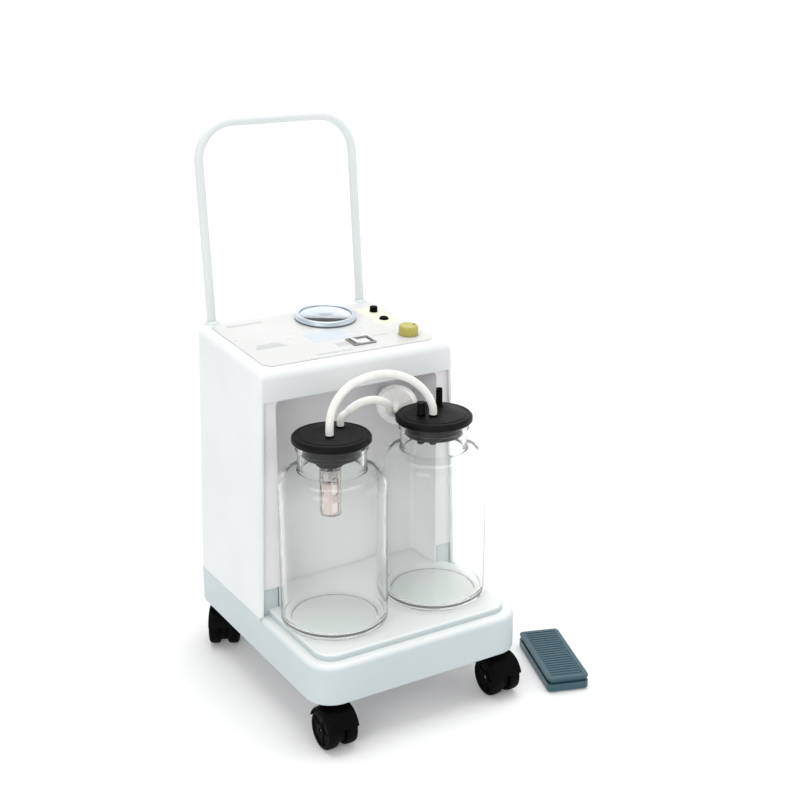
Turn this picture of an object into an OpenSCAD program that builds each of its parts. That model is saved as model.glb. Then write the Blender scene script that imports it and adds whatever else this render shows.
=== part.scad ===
// Mobile two-jar suction pump with push handle, casters and foot switch.
// Millimetres. Origin on the floor under the middle of the base, front towards -Y.

/* [Base] */
// Width of the base and of the body
base_w = 300; // [280:1:320]
// Depth of the base, front to rear
base_d = 370; // [350:1:390]
// Plan radius of the base's corners
base_r = 35; // [30:1:45]
// Height of the skirt's lower edge above the floor
skirt_z = 62; // [60:1:66]
// Height of the base's top surface
base_top = 114; // [108:1:118]
// Height of the platform that the jars stand on
deck_z = 122; // [120:1:126]

/* [Housing] */
// Y of the housing's front edge
front_y = -26; // [-30:1:-20]
// Y of the jar bay's back panel
bay_y = 40; // [36:1:46]
// Height of the top surface at its front edge
top_front = 440; // [430:1:450]
// Slope of the top surface, rising to the rear, in degrees
top_tilt = 4; // [2:0.5:6]
// Draft of the side walls, leaning in as they rise, in degrees
side_draft = 2; // [1:0.5:3]
// Thickness of the housing's walls
wall = 4; // [3:0.5:5]

/* [Jars] */
// Outer radius of a jar
jar_r = 67.5; // [60:0.5:68]
// Sideways distance of each jar from the middle
jar_x = 73.5; // [71:0.5:75]
// Y of the jars' centres
jar_y = -85; // [-90:1:-84]
// Height of a jar to the top of its neck
jar_h = 237.4; // [230:0.2:240]
// Radius of a lid's flange
lid_r = 49; // [46:0.5:52]

/* [Handle] */
// Radius of the handle's tube
handle_r = 6; // [5:0.5:7]
// Sideways distance of each leg from the middle
handle_x = 113; // [105:1:118]
// Height of the handle's top bar, centre of the tube
handle_top = 707; // [650:1:760]
// Lean of the handle to the rear, in degrees
handle_lean = 5; // [0:1:8]

/* [Casters] */
// Radius of a caster's wheel
wheel_r = 25; // [22:1:26]
// Distance from the swivel axis to the axle
trail = 14; // [10:1:18]

/* [Foot switch] */
// Length of the foot switch
pedal_l = 132; // [125:1:150]
// Width of the foot switch
pedal_w = 56; // [55:1:70]

/* [Hidden] */
$fn = 48;
eps = 0.01;
gap = 0.3;

white = [0.93, 0.95, 0.97];
pale = [0.84, 0.89, 0.89];
greige = [0.80, 0.78, 0.80];
black = [0.06, 0.06, 0.07];
steel = [0.72, 0.73, 0.75];
blue = [0.26, 0.38, 0.44];
cream = [0.93, 0.88, 0.82];
glass = [0.85, 0.93, 0.92, 0.35];
yellow = [0.92, 0.82, 0.10];

// Name, X and Y of each caster's swivel axis, and the heading of its trail
CASTERS = [["fl", -121, -155, -90], ["fr", 121, -155, -90],
           ["rl", -122, 150, -120], ["rr", 121, 150, -75]];

// ---------- shared shapes ----------

// Rounded rectangle made of squares and circles, so that its corners stay true arcs.
module rrect(w, d, r) {
    square([w - 2 * r, d], center = true);
    square([w, d - 2 * r], center = true);
    for (sx = [-1, 1], sy = [-1, 1]) translate([sx * (w / 2 - r), sy * (d / 2 - r)]) circle(r);
}

// Outline of a rounded box in plan, anticlockwise, with its own front and rear corner radii.
function corner(cx, cy, r, a0, k) = [for (i = [0:k])
    let (a = a0 + 90 * i / k)
    [cx + r * cos(a), cy + r * sin(a)]];
function outline(hw, yf, yr, rf, rr, k = 7) = concat(
    corner(hw - rf, yf + rf, rf, -90, k), corner(hw - rr, yr - rr, rr, 0, k),
    corner(rr - hw, yr - rr, rr, 90, k), corner(rf - hw, yf + rf, rf, 180, k));
function lift(ring, z, slope = 0, y0 = 0) = [for (p = ring) [p[0], p[1], z + (p[1] - y0) * slope]];

// Solid through a stack of rings that all have the same number of points.
module loft(rings) {
    n = len(rings[0]);
    m = len(rings);
    sides = [for (j = [0:m - 2], i = [0:n - 1], t = [0, 1])
        let (a = j * n + i, d = j * n + (i + 1) % n)
        t == 0 ? [a, a + n, d + n] : [a, d + n, d]];
    caps = [[for (i = [0:n - 1]) i], [for (i = [n - 1:-1:0]) (m - 1) * n + i]];
    polyhedron([for (r = rings, p = r) p], concat(sides, caps));
}

// Round tube swept along a list of points, one ring at each point.
function unit(v) = v / norm(v);
function heading(p, i) = unit(p[min(i + 1, len(p) - 1)] - p[max(i - 1, 0)]);
module sweep(p, r, ref, sides = 10) {
    loft([for (i = [0:len(p) - 1])
        let (t = heading(p, i), u = unit(cross(ref, t)), v = cross(t, u))
        [for (k = [0:sides - 1]) p[i] + r * (cos(360 * k / sides) * u + sin(360 * k / sides) * v)]]);
}

// ---------- places worked out from the driving sizes ----------

front_base = -base_d / 2;
rear_y = base_d / 2;
slope = tan(top_tilt);
function top_z(y) = top_front + (y - front_y) * slope;
function half_w(z) = base_w / 2 - (z - base_top) * tan(side_draft);

// Puts a child on the sloping top surface, with its own Z along the surface's normal.
module on_top(x, y) translate([x, y, top_z(y)]) rotate([top_tilt, 0, 0]) children();

gauge_at = [30, 120];
knob_at = [98, 17];
switch_at = [28, 20];
selector_at = [104, 118];
fuse_at = [101, 85];
handle_y = 172;
handle_foot = 452;
header_z = 401;
bay_x = 117;
sill_z = 150;
edge_r = 12;
edge_w = 6;
socket_z = 131;
foot_socket_x = 40;
cover_w = 210;
cover_h = 250;
cover_z = 275;
cover_bolts = [for (s = [-1, 1], z = [160, 390]) [s * 98, z]];
lid_z = 360;
lid_top = 371;
link_port = [-9, -12];
side_port = [19, 12];

// ---------- base ----------

module base_pan() color(pale) {
    r = 9;
    h = base_top - skirt_z;
    deck_y0 = -171;
    deck_y1 = bay_y - 1;
    // height and inset of the rounded upper edge
    rounding = [for (a = [0:30:90]) [h - r * (1 - sin(a)), r * (1 - cos(a))]];
    difference() {
        union() {
            loft([for (s = concat([[0, 3], [3, 0]], rounding))
                let (in = s[1])
                lift(outline(base_w / 2 - in, front_base + in, rear_y - in, base_r - in, base_r - in),
                     skirt_z + s[0])]);
            // square upper edge where the housing stands
            intersection() {
                translate([0, 0, base_top - 16]) linear_extrude(16) rrect(base_w, base_d, base_r);
                translate([-200, front_y, 0]) cube([400, 300, 200]);
            }
            // raised platform for the jars, and a sill at each side of it
            translate([0, (deck_y0 + deck_y1) / 2, base_top - 1]) linear_extrude(deck_z - base_top + 1)
                rrect(272, deck_y1 - deck_y0, 24);
            for (s = [-1, 1]) translate([s * (bay_x + 14.5), 9, base_top - 1])
                linear_extrude(sill_z - base_top + 1) rrect(23, 62, 3);
        }
        translate([0, 0, skirt_z - 1]) linear_extrude(h - 2) rrect(base_w - 6, base_d - 6, base_r - 3);
        // the pump hangs through this opening
        translate([-118, bay_y + 10, base_top - 10]) cube([236, 125, 20]);
    }
}

module base_plate() color(steel) difference() {
    translate([0, 0, skirt_z + 2]) linear_extrude(3) rrect(base_w - 7, base_d - 7, base_r - 3.5);
    for (c = CASTERS) translate([c[1], c[2], 0]) cylinder(h = 200, r = 8.05);
}

module caster_bushes() color(steel) for (c = CASTERS) translate([c[1], c[2], 0]) difference() {
    union() {
        translate([0, 0, 59.5]) cylinder(h = 38, r = 8);
        translate([0, 0, 61.5]) cylinder(h = 2.5, r = 13);
    }
    translate([0, 0, 50]) cylinder(h = 44, r = 5.55);
}

// ---------- housing ----------

module shell_solid(inset, bottom) {
    straight = top_front - edge_r;
    front_r = max(5 - inset, 1);
    r = edge_r - inset;
    loft(concat(
        [lift(outline(half_w(bottom) - inset, front_y + inset, rear_y - inset, front_r, base_r - inset),
              bottom)],
        [for (a = [0:15:90])
            let (in = inset + r * (1 - cos(a)))
            lift(outline(half_w(straight) - in, front_y + in, rear_y - in, front_r + eps, base_r - in),
                 straight + r * sin(a), slope, front_y)]));
}

module housing_shell() color(white) difference() {
    shell_solid(0, base_top);
    shell_solid(wall, base_top - 1);
    // the jar bay's mouth
    loft([for (z = [base_top - 1, header_z])
        lift(outline(half_w(z) - edge_w, front_y - 30, front_y + 20, 2, 2, 2), z)]);
    on_top(gauge_at[0], gauge_at[1]) cylinder(h = 60, r = 37.3, center = true);
    on_top(knob_at[0], knob_at[1]) cylinder(h = 60, r = 5, center = true);
    on_top(selector_at[0], selector_at[1]) cylinder(h = 30, r = 4.2, center = true);
    on_top(fuse_at[0], fuse_at[1]) cylinder(h = 30, r = 6.2, center = true);
    on_top(switch_at[0], switch_at[1]) cube([29.6, 23.6, 40], center = true);
    for (s = [-1, 1]) handle_axis(s) cylinder(h = 60, r = handle_r + 0.4, center = true);
    // rear service opening, its screw holes and the two sockets
    translate([-92, rear_y - 35, cover_z - 111]) cube([184, 60, 222]);
    cover_holes(20);
    translate([0, rear_y, socket_z]) cube([29, 40, 21], center = true);
    translate([foot_socket_x, rear_y, socket_z]) rotate([90, 0, 0]) cylinder(h = 40, r = 9.2, center = true);
}

module cover_holes(h) for (p = cover_bolts) translate([p[0], rear_y, p[1]]) rotate([90, 0, 0])
    cylinder(h = h, r = 2.1, center = true);

// Liner of the jar bay: a deep box with a frame round its mouth.
module recess_panel() color(greige) {
    t = 2.5;
    frame_y = front_y + edge_w;
    bottom = deck_z + gap;
    frame_bottom = sill_z + gap;
    frame_top = header_z + 11;
    x0 = half_w(frame_bottom) - edge_w - 0.4;
    x1 = half_w(frame_top) - edge_w - 0.4;
    difference() {
        union() {
            translate([-bay_x - t, frame_y, bottom])
                cube([2 * (bay_x + t), bay_y + t - frame_y, header_z + t - bottom]);
            translate([0, frame_y + t, 0]) rotate([90, 0, 0]) linear_extrude(t)
                polygon([[-x0, frame_bottom], [x0, frame_bottom], [x1, frame_top], [-x1, frame_top]]);
        }
        translate([-bay_x, frame_y - 10, bottom - 1])
            cube([2 * bay_x, bay_y - frame_y + 10, header_z - bottom + 1]);
        translate([nipple_at[0], 0, nipple_at[1]]) rotate([-90, 0, 0]) cylinder(h = 100, r = 5.05);
    }
}

module rear_cover() color(white) difference() {
    translate([0, rear_y, cover_z]) rotate([-90, 0, 0]) linear_extrude(2.5) rrect(cover_w, cover_h, 10);
    for (i = [0:6], s = [-1, 1]) translate([s * 45, rear_y, 215 + i * 14]) rotate([-90, 0, 0])
        linear_extrude(10, center = true) rrect(70, 5, 2.4);
    cover_holes(10);
}

module cover_screws() color(steel) for (p = cover_bolts) translate([p[0], rear_y, p[1]]) rotate([-90, 0, 0]) {
    translate([0, 0, -8]) cylinder(h = 8 + 2.5, r = 2);
    difference() {
        translate([0, 0, 2.5]) cylinder(h = 2.2, r = 4);
        translate([0, 0, 4.5]) cube([6, 1, 1.6], center = true);
    }
}

module control_panel() color(white) difference() {
    on_top(0, 74) linear_extrude(1.5) rrect(246, 172, 14);
    on_top(gauge_at[0], gauge_at[1]) cylinder(h = 60, r = 37.3, center = true);
    on_top(knob_at[0], knob_at[1]) cylinder(h = 60, r = 5, center = true);
    on_top(selector_at[0], selector_at[1]) cylinder(h = 30, r = 4.2, center = true);
    on_top(fuse_at[0], fuse_at[1]) cylinder(h = 30, r = 6.2, center = true);
    on_top(switch_at[0], switch_at[1]) cube([29.6, 23.6, 40], center = true);
}

// ---------- handle ----------

// Frame of one leg: its Z runs up the leg, from the middle of the hole in the top.
module handle_axis(s)
    translate([s * handle_x, handle_y, handle_foot]) rotate([-handle_lean, 0, 0]) children();
handle_l = (handle_top - handle_foot) / cos(handle_lean);
bend = 50;

module handle_tube() color(white) translate([0, handle_y, handle_foot]) rotate([-handle_lean, 0, 0]) {
    for (s = [-1, 1]) {
        translate([s * handle_x, 0, -70]) cylinder(h = 70 + handle_l - bend, r = handle_r);
        translate([s * (handle_x - bend), 0, handle_l - bend]) rotate([90, 0, 0])
            rotate([0, 0, s > 0 ? 0 : 90]) rotate_extrude(angle = 90) translate([bend, 0]) circle(handle_r);
    }
    translate([bend - handle_x, 0, handle_l]) rotate([0, 90, 0])
        cylinder(h = 2 * (handle_x - bend), r = handle_r);
}

module handle_sockets() color(steel) for (s = [-1, 1]) handle_axis(s) difference() {
    translate([0, 0, -74]) cylinder(h = 62, r = 7.6);
    translate([0, 0, -70.1]) cylinder(h = 90, r = handle_r + 0.05);
}

// ---------- gauge ----------

gauge_stem = 52;
module gauge_case() color(black) on_top(gauge_at[0], gauge_at[1]) {
    difference() {
        union() {
            translate([0, 0, -40]) cylinder(h = 43, r = 37);
            translate([0, 0, 1.5]) cylinder(h = 2, r = 41.5);
            translate([0, 0, -gauge_stem]) cylinder(h = gauge_stem - 38, r = 6);
        }
        translate([0, 0, -37]) cylinder(h = 60, r = 35);
    }
    // movement block and the curved pressure tube
    difference() {
        translate([-12, -9, -37]) cube([24, 18, 16]);
        translate([0, 0, -29]) cylinder(h = 10, r = 1.05);
    }
    translate([0, 0, -28]) rotate_extrude(angle = 250) translate([26, 0]) square([3, 8]);
}

module gauge_bezel() color(steel) on_top(gauge_at[0], gauge_at[1]) rotate_extrude()
    polygon([[37.6, 3.5], [41.5, 3.5], [41.5, 7], [40, 9], [35.5, 9], [35.5, 7.9], [37.6, 7.9]]);

module gauge_lens() color(glass) on_top(gauge_at[0], gauge_at[1])
    translate([0, 0, 5.8]) cylinder(h = 2, r = 37.4);

module gauge_dial() color("white") on_top(gauge_at[0], gauge_at[1]) difference() {
    translate([0, 0, -6]) cylinder(h = 1, r = 34.8);
    cylinder(h = 60, r = 1.6, center = true);
}

module gauge_needle() color(black) on_top(gauge_at[0], gauge_at[1]) rotate([0, 0, -45]) {
    translate([0, 0, -3.6]) cylinder(h = 2, r = 3);
    translate([0, 0, -28]) cylinder(h = 25, r = 1);
    translate([0, 0, -3.4]) linear_extrude(0.8)
        polygon([[-9, -1.2], [-9, 1.2], [0, 1.5], [28, 0.3], [28, -0.3], [0, -1.5]]);
}

// ---------- controls ----------

knob_r = 13;
module regulator_knob() color(yellow) on_top(knob_at[0], knob_at[1]) {
    difference() {
        union() {
            translate([0, 0, 2]) cylinder(h = 10.5, r = knob_r);
            translate([0, 0, 12.5]) cylinder(h = 2, r1 = knob_r, r2 = knob_r - 2);
        }
        for (a = [0:30:330]) rotate([0, 0, a]) translate([knob_r + 1.4, 0, 4.5]) cylinder(h = 20, r = 2.3);
    }
    translate([0, 0, -18]) cylinder(h = 21, r = 4);
}

valve_port = [-24, -28];
module regulator_valve() color(steel) on_top(knob_at[0], knob_at[1]) difference() {
    union() {
        translate([0, 0, -36]) cylinder(h = 36 - wall - 0.05, r = 12);
        translate([0, 0, valve_port[1]]) rotate([0, -90, 0]) cylinder(h = -valve_port[0], r = 3.5);
    }
    translate([0, 0, -20]) cylinder(h = 40, r = 4.05);
}

// The rocker turns on a cross pin and rests tilted to one side.
rocker_pivot = -2;
rocker_tilt = 8;
module power_rocker() color(black) on_top(switch_at[0], switch_at[1]) translate([0, 0, rocker_pivot])
    rotate([90, rocker_tilt, 0]) {
        linear_extrude(18.4, center = true) polygon([[-12.4, 5.6], [0, 3.4], [12.4, 5.6], [8, -5], [-8, -5]]);
        cylinder(h = 21.6, r = 1.2, center = true);
    }

module switch_cases() color(black) {
    on_top(switch_at[0], switch_at[1]) difference() {
        union() {
            translate([0, 0, 1.5]) linear_extrude(1.6) rrect(33, 27, 2);
            translate([-14.5, -11.5, -28]) cube([29, 23, 30]);
        }
        translate([-13.9, -9.6, -10]) cube([27.8, 19.2, 30]);
        translate([0, 0, rocker_pivot]) rotate([90, 0, 0]) cylinder(h = 22, r = 1.25, center = true);
    }
    on_top(selector_at[0], selector_at[1]) difference() {
        union() {
            translate([0, 0, -22]) cylinder(h = 22 - wall - 0.05, r = 8);
            translate([0, 0, -5]) cylinder(h = 6.4, r = 4.1);
        }
        translate([0, 0, -14]) cylinder(h = 30, r = 2.05);
    }
}

module selector_knob() color(black) on_top(selector_at[0], selector_at[1]) {
    difference() {
        translate([0, 0, 1.9]) cylinder(h = 7.1, r = 5.5);
        translate([2, -0.6, 8]) cube([5, 1.2, 3]);
    }
    translate([0, 0, -12]) cylinder(h = 14, r = 2);
}

module fuse_holder() color(black) on_top(fuse_at[0], fuse_at[1]) difference() {
    union() {
        translate([0, 0, -38]) cylinder(h = 38, r = 6);
        translate([0, 0, 1.5]) cylinder(h = 1.6, r = 6.5);
        cylinder(h = 4.6, r = 5);
    }
    translate([0, 0, 4.4]) cube([8, 1.4, 1.6], center = true);
}

module mains_inlet() color(black) translate([0, rear_y, socket_z]) rotate([-90, 0, 0]) {
    difference() {
        union() {
            linear_extrude(2.5) rrect(50, 28, 5);
            translate([0, 0, -22]) linear_extrude(23) square([28.4, 20.4], center = true);
        }
        translate([0, 0, -15]) linear_extrude(30)
            polygon([[-12, -8], [12, -8], [12, 4], [8, 8], [-8, 8], [-12, 4]]);
    }
    for (p = [[-7, 2], [0, -2], [7, 2]]) translate([p[0] - 1, p[1] - 2, -16]) cube([2, 4, 13]);
}

module foot_switch_socket() color(black)
translate([foot_socket_x, rear_y, socket_z]) rotate([-90, 0, 0]) difference() {
    union() {
        translate([0, 0, -20]) cylinder(h = 21, r = 9);
        cylinder(h = 3, r = 12);
    }
    translate([0, 0, -13]) cylinder(h = 20, r = 3.2);
}

// Suction outlet on the bay's back panel: X and Z of its axis, and its length to front and rear
nipple_at = [72, 361];
nipple_front = 36;
nipple_rear = 14;
module panel_nipple() color(steel)
translate([nipple_at[0], bay_y, nipple_at[1]]) rotate([90, 0, 0]) difference() {
    union() {
        translate([0, 0, -nipple_rear]) cylinder(h = nipple_rear + nipple_front, r = 4);
        cylinder(h = 4, r = 9);
        translate([0, 0, -6.6]) cylinder(h = 4, r = 8, $fn = 6);
        translate([0, 0, -3]) cylinder(h = 4, r = 5);
    }
    translate([0, 0, -20]) cylinder(h = 60, r = 2.5);
}

// ---------- pump inside the housing ----------

crank_y = 95;
crank_z = 152;
cyl_x = 77;
throw = 4;
// Y and upper end of the port on top of each cylinder head
head_y = 167;
head_top = 190;

module motor_case() color(steel) {
    translate([-55, crank_y, crank_z]) rotate([0, 90, 0]) difference() {
        union() {
            cylinder(h = 110, r = 28);
            translate([0, 0, 3]) cylinder(h = 104, r = 44);
        }
        translate([0, 0, 7]) cylinder(h = 96, r = 38);
        translate([0, 0, -10]) cylinder(h = 200, r = 6.08);
    }
    translate([-62, 62, 102]) cube([124, 66, 8]);
}

module pump_crankcases() color(steel) for (s = [-1, 1]) difference() {
    translate([s * cyl_x, crank_y, crank_z]) rotate([0, 90, 0]) cylinder(h = 44, r = 36, center = true);
    translate([s * cyl_x, crank_y, crank_z]) rotate([0, 90, 0]) cylinder(h = 36, r = 31, center = true);
    translate([s * cyl_x, crank_y, crank_z]) rotate([0, 90, 0]) cylinder(h = 80, r = 6.08, center = true);
    translate([s * cyl_x, crank_y, crank_z]) rotate([-90, 0, 0]) cylinder(h = 60, r = 24.02);
}

module pump_cylinders() color(steel) for (s = [-1, 1])
translate([s * cyl_x, 0, crank_z]) rotate([-90, 0, 0]) {
    difference() {
        translate([0, 0, 126]) cylinder(h = 34, r = 24);
        translate([0, 0, 120]) cylinder(h = 60, r = 20);
    }
    difference() {
        translate([0, 0, 160]) linear_extrude(14) rrect(52, 52, 6);
        translate([0, 0, 158]) cylinder(h = 10, r = 12);
        translate([0, 0, head_y]) rotate([90, 0, 0]) cylinder(h = 60, r = 3);
    }
    translate([0, 0, head_y]) rotate([90, 0, 0]) difference() {
        translate([0, 0, 25]) cylinder(h = head_top - crank_z - 25, r = 4);
        translate([0, 0, 20]) cylinder(h = 30, r = 3);
    }
}

module crankshaft() color(steel) translate([0, crank_y, crank_z]) rotate([0, 90, 0]) {
    translate([0, 0, -122]) cylinder(h = 220, r = 6);
    translate([0, 0, -40]) cylinder(h = 80, r = 30);
    for (s = [-1, 1]) translate([-s * throw, 0, s * cyl_x - 6]) cylinder(h = 12, r = 11);
}

module cooling_fan() color(black) translate([-104, crank_y, crank_z]) rotate([0, -90, 0]) {
    difference() {
        cylinder(h = 12, r = 11);
        translate([0, 0, -5]) cylinder(h = 30, r = 6.02);
    }
    for (a = [0:60:300]) rotate([0, 0, a]) translate([10, 0, 6]) rotate([35, 0, 0])
        translate([0, -7, -1]) cube([22, 14, 2]);
}

module piston(s) color(steel) translate([s * cyl_x, crank_y, crank_z]) {
    difference() {
        rotate([0, 90, 0]) cylinder(h = 10, r = 24, center = true);
        rotate([0, 90, 0]) cylinder(h = 40, r = 19.6, center = true);
    }
    translate([-4, 22, -5]) cube([8, 22, 10]);
    translate([0, 41, 0]) rotate([-90, 0, 0]) cylinder(h = 9, r = 19.95);
}
module piston_left() piston(-1);
module piston_right() piston(1);

module rubber_mounts() color(black) for (x = [-50, 50], y = [72, 118]) translate([x, y, skirt_z + 5])
    cylinder(h = 102 - skirt_z - 5, r = 9);

module silencer() color(black) translate([-cyl_x, head_y, head_top]) difference() {
    union() {
        cylinder(h = 10, r = 4);
        translate([0, 0, 6]) cylinder(h = 66, r = 13);
    }
    translate([0, 0, -1]) cylinder(h = 40, r = 3);
}

module control_board() {
    color([0.1, 0.35, 0.2]) translate([-60, 52, 270]) cube([110, 1.8, 80]);
    color(steel) for (x = [-54, 44], z = [276, 344]) translate([x, bay_y + 2.5, z]) rotate([-90, 0, 0])
        cylinder(h = 9.5, r = 3);
    color(black) translate([-46, 53.8, 290]) cube([30, 26, 40]);
    color(steel) translate([12, 69.8, 285]) cylinder(h = 48, r = 16);
}

// Hoses inside the housing: suction outlet to cylinder head, and regulator to gauge
head_route = [[72, 54.1, 361], [72, 64, 361], [72, 80, 356], [72, 96, 346], [73, 111, 329],
              [74, 126, 305], [75, 141, 276], [76, 155, 247], [77, 164, 222], [77, 167, 204],
              [77, 167, 190.1]];
valve_end = [knob_at[0] + valve_port[0], knob_at[1] - valve_port[1] * sin(top_tilt),
             top_z(knob_at[1]) + valve_port[1] * cos(top_tilt)];
function below_stem(d) =
    [gauge_at[0], gauge_at[1] + d * sin(top_tilt), top_z(gauge_at[1]) - d * cos(top_tilt)];
gauge_route = concat([valve_end - [0.1, 0, 0]],
                     [[65, 19, 415], [56, 24, 414], [46, 38, 412], [36, 58, 407], [29, 80, 398],
                      [28, 98, 389], [28.5, 111, 383.5], [29.5, 120, 383.5]],
                     [below_stem(gauge_stem + 8), below_stem(gauge_stem + 0.1)]);
module vacuum_lines() color(cream) {
    sweep(head_route, 4, [1, 0, 0], 8);
    sweep(gauge_route, 3, [0, 0, 1], 8);
}

// ---------- jars and lids ----------

shoulder_r = 20;
module jar_profile() {
    t = 3.6;
    arc = [for (a = [0:15:75]) [jar_r - shoulder_r * (1 - cos(a)), 181 + shoulder_r * sin(a)]];
    arc_in = [for (a = [75:-15:0])
        [jar_r - shoulder_r * (1 - cos(a)) - t * cos(a), 181 + (shoulder_r - t) * sin(a)]];
    heel = [[0, 2], [54, 2], [57, 0], [62, 0], [jar_r - 1.2, 2], [jar_r, 6]];
    neck = [[43.5, 202.5], [42.5, 206], [42.5, jar_h - 10], [45, jar_h - 8], [45, jar_h - 1.5], [43.5, jar_h],
            [38.4, jar_h], [37.4, jar_h - 1], [37.4, 204], [39, 199.5]];
    polygon(concat(heel, arc, neck, arc_in, [[jar_r - t, 10], [60, 6.5], [0, 6.5]]));
}
module jar(s) color(glass) translate([s * jar_x, jar_y, deck_z + gap]) rotate_extrude() jar_profile();
module jar_left() jar(-1);
module jar_right() jar(1);

module lid(s, holes) color(black) translate([s * jar_x, jar_y, 0]) difference() {
    rotate_extrude() polygon([[0, 342], [34, 342], [36.6, 345], [36.8, lid_z], [lid_r - 1.5, lid_z],
                              [lid_r, lid_z + 1.5], [lid_r, lid_z + 6.5], [lid_r - 2, lid_z + 9],
                              [30, lid_top - 0.4], [26, lid_top], [0, lid_top]]);
    for (h = holes) translate([h[0], h[1], 300]) cylinder(h = 200, r = 4.5);
}
left_holes = [link_port, side_port];
cap_port = [-20.5, -2];
right_holes = [link_port, [18, 16], cap_port];
module lid_left() lid(-1, left_holes);
module lid_right() lid(1, right_holes);

// Tube through a lid: flange on the lid's top, spigot inside the jar.
flange_r = 5.4;
module port(at, up) translate([at[0], at[1], 0]) difference() {
    union() {
        translate([0, 0, 334]) cylinder(h = lid_top - 334 + up, r = 4.45);
        translate([0, 0, lid_top]) cylinder(h = 1.6, r = flange_r);
    }
    translate([0, 0, 330]) cylinder(h = 100, r = 3);
}
elbow_top = lid_top + 12;
module lid_ports() color(black) {
    translate([-jar_x, jar_y, 0]) port(link_port, 2);
    translate([-jar_x + side_port[0], jar_y + side_port[1], 0]) {
        difference() {
            union() {
                translate([0, 0, 334]) cylinder(h = elbow_top - 334, r = 4.45);
                translate([0, 0, lid_top]) cylinder(h = 1.6, r = flange_r);
                translate([0, 0, elbow_top]) sphere(5.2);
                translate([0, 0, elbow_top]) rotate([0, 60, 0]) cylinder(h = 12, r = 4.3);
            }
            translate([0, 0, 330]) cylinder(h = elbow_top + 1 - 330, r = 3);
            translate([0, 0, elbow_top]) rotate([0, 60, 0]) cylinder(h = 30, r = 2.5);
        }
    }
    translate([jar_x, jar_y, 0]) {
        port(link_port, 2);
        port(right_holes[1], 24);
        port(cap_port, 6);
    }
}

module port_cap() color(black)
translate([jar_x + cap_port[0], jar_y + cap_port[1], lid_top + 1.6]) difference() {
    cylinder(h = 16, r = 5.9);
    translate([0, 0, -1]) cylinder(h = 7, r = 4.6);
}

// Cage that hangs on the left link port, with the float that shuts the port when the jar is full
cage_top = 337;
cage_z = 272;
cage_roof = 331.3;
module float_cage() color(glass) translate([link_port[0] - jar_x, link_port[1] + jar_y, 0]) difference() {
    translate([0, 0, cage_z]) cylinder(h = cage_top - cage_z, r = 13);
    translate([0, 0, cage_z + 2]) cylinder(h = cage_roof - cage_z - 2, r = 11.2);
    translate([0, 0, cage_z - 10]) cylinder(h = 50, r = 3);
    translate([0, 0, cage_z + 10]) cylinder(h = 100, r = 4.5);
    for (a = [0, 90], w = [[276, 16], [300, 22]]) rotate([0, 0, a]) translate([-20, -4, w[0]])
        cube([40, 8, w[1]]);
}
module float() color("white") translate([link_port[0] - jar_x, link_port[1] + jar_y, cage_z + 2.3]) {
    difference() {
        cylinder(h = 38, r = 10.6);
        translate([0, 0, -1]) cylinder(h = 30, r = 9);
    }
    translate([0, 0, 38]) cylinder(h = 2.5, r = 6);
}

// Filter: an elbow pushed on the panel nipple carries the disc, which faces the left-hand jar.
filter_yaw = -38;
filter_reach = 14;
filter_inlet = 24;
module filter_disc() color("white") translate([nipple_at[0], 0, nipple_at[1]]) difference() {
    union() {
        sphere(8.8);
        rotate([-90, 0, 0]) cylinder(h = 16, r = 8);
        rotate([90, 0, filter_yaw]) {
            cylinder(h = filter_reach, r = 8);
            translate([0, 0, filter_reach - 7]) cylinder(h = 14, r = 25);
            translate([0, 0, filter_reach - 2]) cylinder(h = 4, r = 27);
            translate([0, 0, filter_reach]) cylinder(h = filter_inlet, r = 4.5);
        }
    }
    rotate([-90, 0, 0]) cylinder(h = 2.1, r = 2.5);
    translate([0, 2, 0]) rotate([-90, 0, 0]) cylinder(h = 40, r = 4.3);
    rotate([90, 0, filter_yaw]) {
        cylinder(h = filter_reach, r = 2.5);
        translate([0, 0, filter_reach - 4]) cylinder(h = 8, r = 22);
        translate([0, 0, filter_reach]) cylinder(h = 60, r = 3);
    }
}

// ---------- hoses ----------

hose_r = 5;
link_route = [[-82.5, -97, 373.1], [-82.5, -97, 382], [-81, -96, 392], [-77, -94, 402], [-70, -92, 412],
              [-60, -90, 421], [-47, -88, 428], [-32, -87, 432], [-16, -86, 434], [0, -86, 433.5],
              [15, -87, 430.5], [29, -88.5, 425], [41, -90.5, 417.5], [51, -93, 408], [58.5, -95.5, 397],
              [63, -96.8, 386],
              [64.5, -97, 379], [64.5, -97, 373.1]];
filter_route = [[-43.9, -73, 389.1], [-37.2, -73, 393], [-29, -73, 396.2], [-20, -73, 398], [-10, -73, 398],
                [0, -72.3, 395.8], [9, -70, 391.5], [16.5, -66.5, 386], [22, -61.5, 380], [26, -55.5, 374],
                [30.5, -50, 368.8], [35, -45.2, 364.8], [39.5, -40.5, 362],
                [43.9, -36, 361], [48.5, -30, 361]];
module hose_link() color(cream) sweep(link_route, hose_r, [0, 1, 0]);
module hose_filter() color(cream) sweep(filter_route, hose_r, [0, -1, 1]);

// ---------- casters ----------

module at_caster(i) translate([CASTERS[i][1], CASTERS[i][2], 0]) rotate([0, 0, CASTERS[i][3]]) children();
hood_r = wheel_r + 4;

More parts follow.
